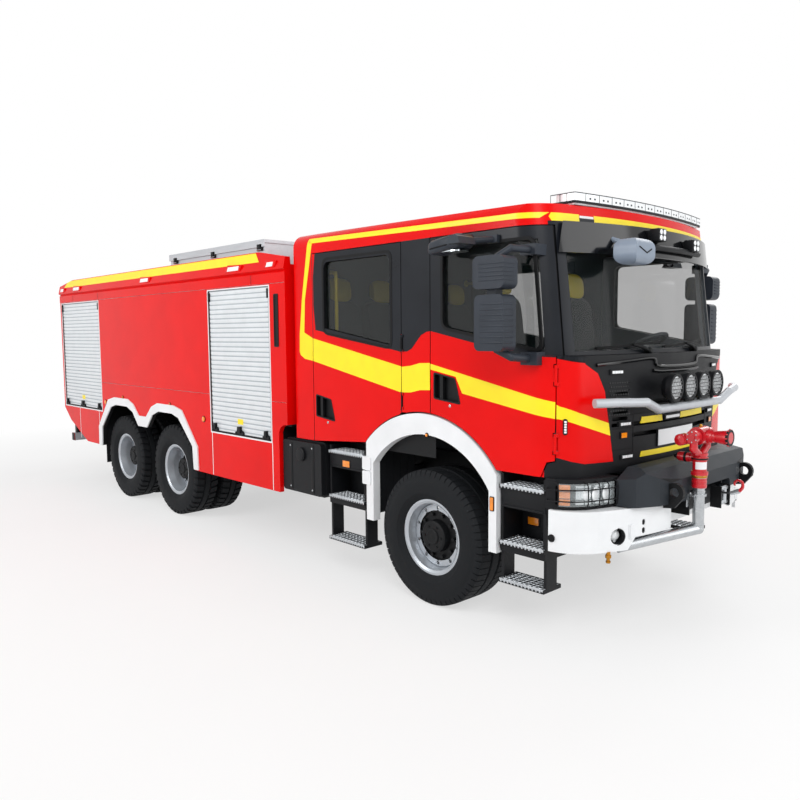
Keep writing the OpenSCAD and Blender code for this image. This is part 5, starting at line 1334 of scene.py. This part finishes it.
def hub_dress():
    """Hub cap ring, bolts and valve on each wheel."""
    for name, body, x, face, rim in HUBS:
        form = Form(FRAME_BLACK)
        dish = [(-0.004, 0.062), (0.006, 0.06), (0.009, 0.052), (0.006, 0.04), (0.008, 0.02), (0.009, 0.0)]
        form.lathe(dish, (x, -face, AXLE_Z), RIGHT, 32)
        for u, v in circle((x, AXLE_Z), 0.085, 6):
            hexagon(form, (u, -face, v), RIGHT, 0.009, 0.008)
        valve = [(x + 0.2, -face + 0.03, AXLE_Z + 0.1), (x + 0.225, -rim + 0.02, AXLE_Z + 0.11)]
        form.paint(STEEL).tube(valve, 0.006, 8)
        form.pair(f"hub_cap_{name}", body, "rim_silver")


FRONT_TYRE = (1.02, 0.1925)
FRONT_LUGS, REAR_LUGS = 60, 40
REAR_TYRE_Y, REAR_TYRE_HALF = (1.062, 0.727), 0.15
# Columns are name, body, x of the axle, and distances of hub face and rim from the middle
HUBS = [("front", "front_wheel", 0, 1.152, 1.17), ("lead", "lead_wheels", LEAD_X, 1.102, 1.178),
        ("trail", "trail_wheels", TRAIL_X, 1.102, 1.178)]
tyres()
hub_dress()


# Body: shutters, seams, vents, lights on the rails


def taper(u, foot_half, top_half, v0, v1):
    """Points of a symmetrical shape with a broad foot and a narrow top."""
    return [(u - foot_half, v0), (u + foot_half, v0), (u + top_half, v1), (u - top_half, v1)]


def shutter_dress(form, low, high, place, face, skin):
    """Frame, gaskets, stops, three foot locks and a blank label on one roller shutter."""
    (u0, v0), (u1, v1) = low, high
    outer, inner = oblong((u0 - 0.014, v0 - 0.014), (u1 + 0.014, v1 + 0.012)), oblong(low, high)
    ring_prism(form.paint(WHITE), outer, inner, face - 0.01, skin + 0.003, place)
    form.paint(SEAL)
    for u in (u0, u1 - 0.014):
        form.prism(oblong((u, v0), (u + 0.014, v1)), face - 0.004, face + 0.004, place)
    form.prism(oblong((u0, v0), (u1, v0 + 0.018)), face - 0.004, face + 0.007, place)
    for u in (u0 + 0.004, u1 - 0.03):
        form.prism(oblong((u, v1 - 0.11), (u + 0.026, v1 - 0.02)), face, face + 0.014, place)
    middle = (u0 + u1) / 2
    form.paint(PLASTIC)
    for u, half in ((u0 + 0.085, 0.05), (middle, 0.075), (u1 - 0.085, 0.05)):
        form.prism(taper(u, half, half * 0.72, v0 + 0.018, v0 + 0.05), face - 0.002, face + 0.016, place)
        cap = soft_corners(taper(u, half * 0.4, half * 0.3, v0 + 0.03, v0 + 0.095), 0.012)
        form.prism(cap, face - 0.002, face + 0.03, place)
        for s in (-1, 1):
            form.prism(circle((u + s * half * 0.8, v0 + 0.028), 0.014, 10), face, face + 0.022, place)
    label = oblong((middle - 0.05, v0 + 0.115), (middle + 0.05, v0 + 0.17))
    form.paint(YELLOW).prism(label, face - 0.003, face + 0.0015, place)


def shutters():
    """Frames of the side shutters and of the back one, which has a lift bar."""
    sides = Form(WHITE)
    for low, high in SHUTTERS:
        shutter_dress(sides, low, high, side, SHUTTER_FACE, BODY_HALF)
    sides.mirror().done("shutter_frames", "chassis", "shutter_alloy")
    rear = Form(WHITE)
    shutter_dress(rear, *BACK_SHUTTER, back, BACK_FACE - 0.008, BACK_FACE)
    handle = [(-0.5, -0.01), (-0.5, 0.035), (0.5, 0.035), (0.5, -0.01)]
    rear.paint(STEEL).tube([back(y, 1.2, BACK_FACE + stand) for y, stand in handle], 0.014, 10)
    rear.done("rear_shutter_frame", "chassis", "shutter_alloy")


def back(u, v, w):
    """An outline (y, z) on the back of the body: w is the distance behind the axle."""
    return (-w, u, v)


def body_dress():
    """Seams between the panels and the vent strips."""
    seams = Form(WHITE)
    for x, z0, z1 in SEAMS:
        seams.box((x - 0.005, -BODY_HALF - 0.0015, z0), (x + 0.005, -BODY_HALF + 0.003, z1), 0.0008)
    for x0, x1, z in LONG_SEAMS:
        low, high = (x0, -BODY_HALF - 0.0006, z - 0.0018), (x1, -BODY_HALF + 0.003, z + 0.0018)
        seams.paint(SEAL).box(low, high, 0.0004)
    seams.mirror().done("body_seams", "chassis", "paint_red")
    vent = Form(PLASTIC)
    x, z0, z1 = VENT
    outer = rounded((x - 0.036, z0), (x + 0.036, z1), 0.012)
    inner = rounded((x - 0.026, z0 + 0.012), (x + 0.026, z1 - 0.012), 0.006)
    ring_prism(vent, outer, inner, BODY_HALF - 0.01, BODY_HALF + 0.006, side)
    vent.box((x - 0.028, -BODY_HALF - 0.001, z0 + 0.01), (x + 0.028, -BODY_HALF + 0.004, z1 - 0.01), 0.0005)
    for k in range(VENT_SLATS):
        z = z0 + 0.02 + (z1 - z0 - 0.04) * k / (VENT_SLATS - 1)
        slat = oblong((x - 0.027, z - 0.005), (x + 0.027, z + 0.001))
        vent.prism(slat, BODY_HALF - 0.002, BODY_HALF + 0.005, side)
    vent.mirror().done("body_vents", "chassis", "plastic_black")


def rail_dress():
    """Work lamps in red housings along the rails and the joints between rail sections."""
    form = Form(RED)
    z, face = RAIL_LAMP_Z, rail_face(RAIL_LAMP_Z)
    for x, width in RAIL_LAMPS:
        x0, x1 = x - width / 2, x + width / 2
        housing = [(x0 - 0.05, z - 0.032), (x1 + 0.03, z - 0.032), (x1 + 0.06, z + 0.028), (x0, z + 0.04)]
        form.paint(RED).prism(housing, face - 0.03, face + 0.012, side, 0.003)
        lens = [(x0 - 0.01, z - 0.024), (x1, z - 0.024), (x1 + 0.02, z + 0.02), (x0 + 0.015, z + 0.02)]
        form.paint(LED).prism(lens, face, face + 0.0155, side, 0.002)
    for x in RAIL_JOINTS:
        gap = oblong((x - 0.003, 2.58), (x + 0.003, 2.665))
        form.paint(SEAL).prism(gap, BODY_HALF - 0.004, BODY_HALF + 0.0008, side)
    form.mirror().done("rail_lamps", "chassis", "paint_red")


def rail_face(z):
    """The rail's leaning outer face above its lower lip."""
    return BODY_HALF + 0.014 - 0.04 * (z - 2.7) / 0.18


SHUTTERS = [((-3.13, 1.085), (-2.005, 2.552)), ((-7.336, 1.1), (-6.019, 2.552))]
BACK_SHUTTER, BACK_FACE = ((-0.78, 1.1), (0.78, 2.552)), 7.4
SEAMS = [(-3.12, 0.62, 1.07), (-1.992, 0.62, 1.07), (-6.813, 0.66, 1.085), (-6.132, 0.64, 1.085)]
LONG_SEAMS = [(-6.0, -3.15, 1.478), (-7.39, -1.75, 2.573), (-1.985, -1.75, 1.47)]
VENT, VENT_SLATS = (-1.885, 1.985, 2.475), 26
RAIL_LAMP_Z = 2.748
RAIL_LAMPS = [(-1.96, 0.1), (-2.6, 0.2), (-4.59, 0.2), (-6.73, 0.2), (-7.27, 0.1)]
RAIL_JOINTS = [-2.3, -6.02, -6.9]
RAIL_STRIPE = [(-7.22, 2.782), (-2.16, 2.782), (-2.24, 2.872), (-7.12, 2.872)]
shutters()
body_dress()
rail_dress()
film("band_rail", "body_roof", [RAIL_STRIPE], YELLOW, "chassis", mirrored=True, middle=(-4.6, 0, 2.6))


# Roof: box latches, hose couplings; back: lamps and a blank plate


def roof_dress():
    """Latches and ribs on the roof box, and the couplings of the suction hoses."""
    latches = Form(PLASTIC)
    for x in BOX_LATCHES:
        latches.paint(PLASTIC).box((x - 0.05, -0.914, 2.955), (x + 0.05, -0.9, 3.03), 0.006)
        latches.box((x - 0.028, -0.926, 2.97), (x + 0.028, -0.91, 3.015), 0.006)
        latches.paint(STEEL).tube([(x - 0.035, -0.92, 2.965), (x + 0.035, -0.92, 2.965)], 0.006, 8)
    for x in BOX_RIBS:
        latches.paint(ALLOY).box((x - 0.006, -0.9045, 2.64), (x + 0.006, -0.899, 2.95), 0.002)
    latches.done("box_latches", "chassis", "plastic_black")
    couplings = Form(ALLOY)
    shell = [(-0.14, HOSE_R + 0.006), (-0.06, HOSE_R + 0.009), (-0.055, HOSE_R + 0.016),
             (-0.01, HOSE_R + 0.016), (0.0, HOSE_R + 0.01), (0.001, 0.04), (-0.04, 0.035)]
    claw = [(-0.05, 0.012), (-0.004, 0.012), (0.0, 0.008)]
    reach = 0.98 * (HOSE_R + 0.022)
    for y in HOSE_Y:
        for x, s in zip(HOSE_ENDS, (-1, 1)):
            couplings.lathe(shell, (x, y, HOSE_Z), (s, 0, 0), 28)
            for u, v in circle((y, HOSE_Z), reach, 3, start=30):
                couplings.lathe(claw, (x, u, v), (s, 0, 0), 8)
    couplings.done("hose_couplings", "chassis", "alloy")


def rear_dress():
    """Red, amber and white lamp fields on the rear lamp blocks, caps on the underrun bar, a blank plate."""
    form = Form(RED_LENS)
    for s in (-1, 1):
        for material, y0, y1 in REAR_FIELDS:
            ys = sorted((s * y0, s * y1))
            field = rounded((ys[0], FIELD_Z[0]), (ys[1], FIELD_Z[1]), 0.01)
            form.paint(material).prism(field, LAMP_BLOCK_BACK - 0.004, LAMP_BLOCK_BACK + 0.004, back)
        y = s * GUARD_BAR_HALF
        form.paint(PLASTIC).box((-7.512, y - 0.006, 0.543), (-7.408, y + 0.006, 0.657), 0.003)
    form.paint(WHITE).prism(rounded((-0.26, 0.55), (0.26, 0.65), 0.012), 7.508, 7.5125, back)
    for s in (-1, 1):
        for z in BACK_MARKER_Z:
            y = s * BACK_MARKER_Y
            lens = rounded((y - 0.03, z - 0.12), (y + 0.03, z + 0.12), 0.02)
            form.paint(RED_LENS).prism(lens, BACK_FACE - 0.002, BACK_FACE + 0.004, back)
    form.done("rear_lamps", "chassis", "lamp_clear")


BOX_LATCHES = (-4.53, -3.64, -2.7)
# Columns are material and distances of both ends from the middle
REAR_FIELDS = [(RED_LENS, 0.99, 1.09), (AMBER, 0.885, 0.98), (RED_LENS, 0.8, 0.875), (LED, 0.735, 0.79)]
FIELD_Z, LAMP_BLOCK_BACK, GUARD_BAR_HALF = (0.672, 0.778), 7.5, 1.15
BACK_MARKER_Y, BACK_MARKER_Z = 1.03, (1.5, 2.2)
BOX_RIBS = (-4.4, -3.4, -2.9)
HOSE_Y, HOSE_Z, HOSE_R, HOSE_ENDS = (-0.19, 0.0), 2.81, 0.075, (-5.29, -1.88)
roof_dress()
rear_dress()


# Inside the cab: padded seats, grab rails


def cushion(outline, half, crown, tuck, steps=8):
    """A crowned pad: a side outline swept across its width, fuller in the middle and drawn in at the ends."""
    middle = sum((Vector(p) for p in outline), Vector((0, 0))) / len(outline)
    rings = []
    for k in range(-steps, steps + 1):
        t = k / steps
        swell = 1 - tuck * abs(t) ** 4
        rise = crown * (1 - t * t)
        ring = []
        for p in outline:
            arm = Vector(p) - middle
            grown = middle + arm * swell + arm.normalized() * rise
            ring.append((grown.x, t * half, grown.y))
        rings.append(ring)
    return rings


def pillow(points, steps=5):
    """A smooth closed line through the corners of a pad's side view."""
    closed = [Vector(p) for p in points]
    line = []
    n = len(closed)
    for i in range(n):
        a, b, c, d = closed[i - 1], closed[i], closed[(i + 1) % n], closed[(i + 2) % n]
        line += [curve_point(a, b, c, d, k / steps) for k in range(steps)]
    return line


def seats():
    """Six padded seats on boxes: seat, back and head rest each."""
    for number, (x, y) in enumerate(SEAT_PLACES):
        for name, outline, half, material, crown, tuck in SEAT_PADS:
            form = Form(material)
            rings = cushion(pillow(outline), half, crown, tuck)
            form.sweep([[(x + px, y + py, FLOOR + pz) for px, py, pz in ring] for ring in rings])
            pad = form.done(f"{name}_{number}", "chassis", "seat_fabric")
    base = Form(FRAME_BLACK)
    for x, y in SEAT_PLACES:
        base.paint(FRAME_BLACK).box((x + 0.09, y - 0.17, FLOOR), (x + 0.47, y + 0.17, FLOOR + 0.262), 0.01)
        for dy in (-0.07, 0.07):
            stay = [(x - 0.035, y + dy, FLOOR + 0.9), (x - 0.03, y + dy, FLOOR + 1.04)]
            base.paint(STEEL).tube(stay, 0.008, 8)
    pad = base.done("seat_bases", "chassis", "seat_fabric")
    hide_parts("seats")


def grab_rails():
    """Yellow rails beside the crew seats."""
    form = Form(SIGNAL)
    x, y, rear = GRAB_RAIL
    top = 2.645
    route = [(x, y, FLOOR), (x, y, 2.0), (x, y, top - 0.065), (x - 0.03, y, top - 0.01), (x - 0.09, y, top),
             (rear, y, top)]
    form.tube(smooth(route, 5), 0.016, 12)
    for centre, axis in (((x, y, FLOOR), UP), ((rear, y, top), AHEAD)):
        form.lathe([(0, 0.034), (0.006, 0.034), (0.01, 0.02)], centre, axis, 20)
    form.mirror().done("grab_rails", "chassis", "plastic_black")


GRAB_RAIL = (-1.263, -1.06, -1.6145)
SEAT_PLACES = [(0.15, 0.52), (0.15, -0.52), (-1.53, 0.8), (-1.53, 0.27), (-1.53, -0.27), (-1.53, -0.8)]
FLOOR = 1.42
# Columns are name, side view, half width, material, crown and tuck at the ends
SEAT_PADS = [
    ("seat_cushion",
     [(0.06, 0.27), (0.28, 0.26), (0.49, 0.275), (0.52, 0.33), (0.49, 0.385), (0.28, 0.375), (0.08, 0.37)],
     0.225, FABRIC, 0.012, 0.12),
    ("seat_back",
     [(0.01, 0.33), (0.11, 0.36), (0.085, 0.6), (0.04, 0.92), (-0.02, 0.99), (-0.065, 0.94), (-0.055, 0.62)],
     0.215, FABRIC, 0.012, 0.12),
    ("seat_head",
     [(-0.02, 1.01), (0.02, 0.99), (0.025, 1.08), (0.005, 1.165), (-0.03, 1.19), (-0.062, 1.15),
      (-0.06, 1.03)],
     0.12, SIGNAL, 0.008, 0.2),
]
seats()
grab_rails()


# Camera, light and floor

CAMERA_AT = (3.955, -5.237, 2.107)
CAMERA_YAW, CAMERA_PITCH, CAMERA_ROLL = 136.547, -5.135, 0.421
FOCAL_PIXELS, IMAGE_PIXELS, SENSOR = 747.817, 800, 36


def add_camera():
    """The photo's camera, as fitted to the wheels and the body."""
    yaw, pitch, roll = (math.radians(a) for a in (CAMERA_YAW, CAMERA_PITCH, CAMERA_ROLL))
    ahead = Vector((math.cos(pitch) * math.cos(yaw), math.cos(pitch) * math.sin(yaw), math.sin(pitch)))
    right = ahead.cross(Vector(UP)).normalized()
    down = ahead.cross(right)
    level = math.cos(roll) * right + math.sin(roll) * down
    drop = -math.sin(roll) * right + math.cos(roll) * down
    data = bpy.data.cameras.new("camera")
    data.sensor_width = SENSOR
    data.lens = FOCAL_PIXELS * SENSOR / IMAGE_PIXELS
    camera = bpy.data.objects.new("camera", data)
    turn = Matrix((level, -drop, -ahead)).transposed().to_4x4()
    camera.matrix_world = TO_FRAME @ Matrix.Translation(CAMERA_AT) @ turn
    bpy.context.scene.collection.objects.link(camera)
    bpy.context.scene.camera = camera


def add_lamp(name, place, target, size, power):
    """A round area light that looks at target."""
    data = bpy.data.lights.new(name, "AREA")
    data.shape, data.size, data.energy = "DISK", size, power
    lamp = bpy.data.objects.new(name, data)
    lamp.location = TO_FRAME @ Vector(place)
    lamp.rotation_euler = (Vector(place) - Vector(target)).to_track_quat("Z", "Y").to_euler()
    bpy.context.scene.collection.objects.link(lamp)


def seen_rays(nodes, links):
    """1 for rays from the camera, a mirror surface or glass."""
    path = nodes.new("ShaderNodeLightPath")
    total = None
    for ray in ("Is Camera Ray", "Is Glossy Ray", "Is Transmission Ray"):
        if total is None:
            total = path.outputs[ray]
            continue
        join = nodes.new("ShaderNodeMath")
        join.operation = "MAXIMUM"
        links.new(total, join.inputs[0])
        links.new(path.outputs[ray], join.inputs[1])
        total = join.outputs[0]
    return total


def add_world(ambient):
    """White to the eye and in mirrors; as a light it has the strength ambient."""
    world = bpy.data.worlds.new("studio")
    bpy.context.scene.world = world
    world.use_nodes = True
    nodes, links = world.node_tree.nodes, world.node_tree.links
    fill = nodes["Background"]
    fill.inputs["Strength"].default_value = ambient
    fill.inputs["Color"].default_value = (1, 1, 1, 1)
    white = nodes.new("ShaderNodeBackground")
    white.inputs["Color"].default_value = (1, 1, 1, 1)
    mix = nodes.new("ShaderNodeMixShader")
    links.new(seen_rays(nodes, links), mix.inputs[0])
    links.new(fill.outputs[0], mix.inputs[1])
    links.new(white.outputs[0], mix.inputs[2])
    links.new(mix.outputs[0], nodes["World Output"].inputs["Surface"])


def add_floor(reach, whiteness, clear):
    """A pale floor that keeps the object's shadow and turns into the white background with distance."""
    material = surface("floor", "#f4f4f4", 0.9, mottle=1, spread=0.01, grain=60, bump=0.0)
    nodes, links = material.node_tree.nodes, material.node_tree.links
    glow = nodes.new("ShaderNodeEmission")
    place = nodes.new("ShaderNodeTexCoord")
    away = nodes.new("ShaderNodeVectorMath")
    away.operation = "LENGTH"
    links.new(place.outputs["Object"], away.inputs[0])
    fade = nodes.new("ShaderNodeMapRange")
    for socket, value in zip(("From Min", "From Max", "To Min", "To Max"), (*clear, whiteness, 1)):
        fade.inputs[socket].default_value = value
    links.new(away.outputs["Value"], fade.inputs["Value"])
    share = nodes.new("ShaderNodeMath")
    share.operation = "MULTIPLY"
    links.new(seen_rays(nodes, links), share.inputs[0])
    links.new(fade.outputs["Result"], share.inputs[1])
    mix = nodes.new("ShaderNodeMixShader")
    links.new(share.outputs[0], mix.inputs[0])
    links.new(nodes["Principled BSDF"].outputs[0], mix.inputs[1])
    links.new(glow.outputs[0], mix.inputs[2])
    links.new(mix.outputs[0], nodes["Material Output"].inputs["Surface"])
    data = bpy.data.meshes.new("floor")
    corners = [(x, y, FLOOR_Z) for x, y in oblong((-reach, -reach), (reach, reach))]
    data.from_pydata(corners, [], [(0, 1, 2, 3)])
    data.materials.append(material)
    floor = bpy.data.objects.new("floor", data)
    bpy.context.scene.collection.objects.link(floor)


FLOOR_Z = -0.002
add_camera()
add_world(0.5)
add_floor(90, 0.6, (5.5, 11))
add_lamp("key", (7.5, -8.0, 9.0), (-1.0, 0, 1.2), 7.0, 660)
add_lamp("front", (10.0, 2.5, 4.5), (1.0, 0, 1.6), 8.0, 270)
add_lamp("side", (-5.0, -11.0, 6.0), (-4.0, 0, 1.4), 6.0, 480)
add_lamp("far", (-2.0, 10.0, 8.0), (-2.0, 0, 1.5), 7.0, 400)

bpy.context.scene.view_settings.view_transform = "Standard"
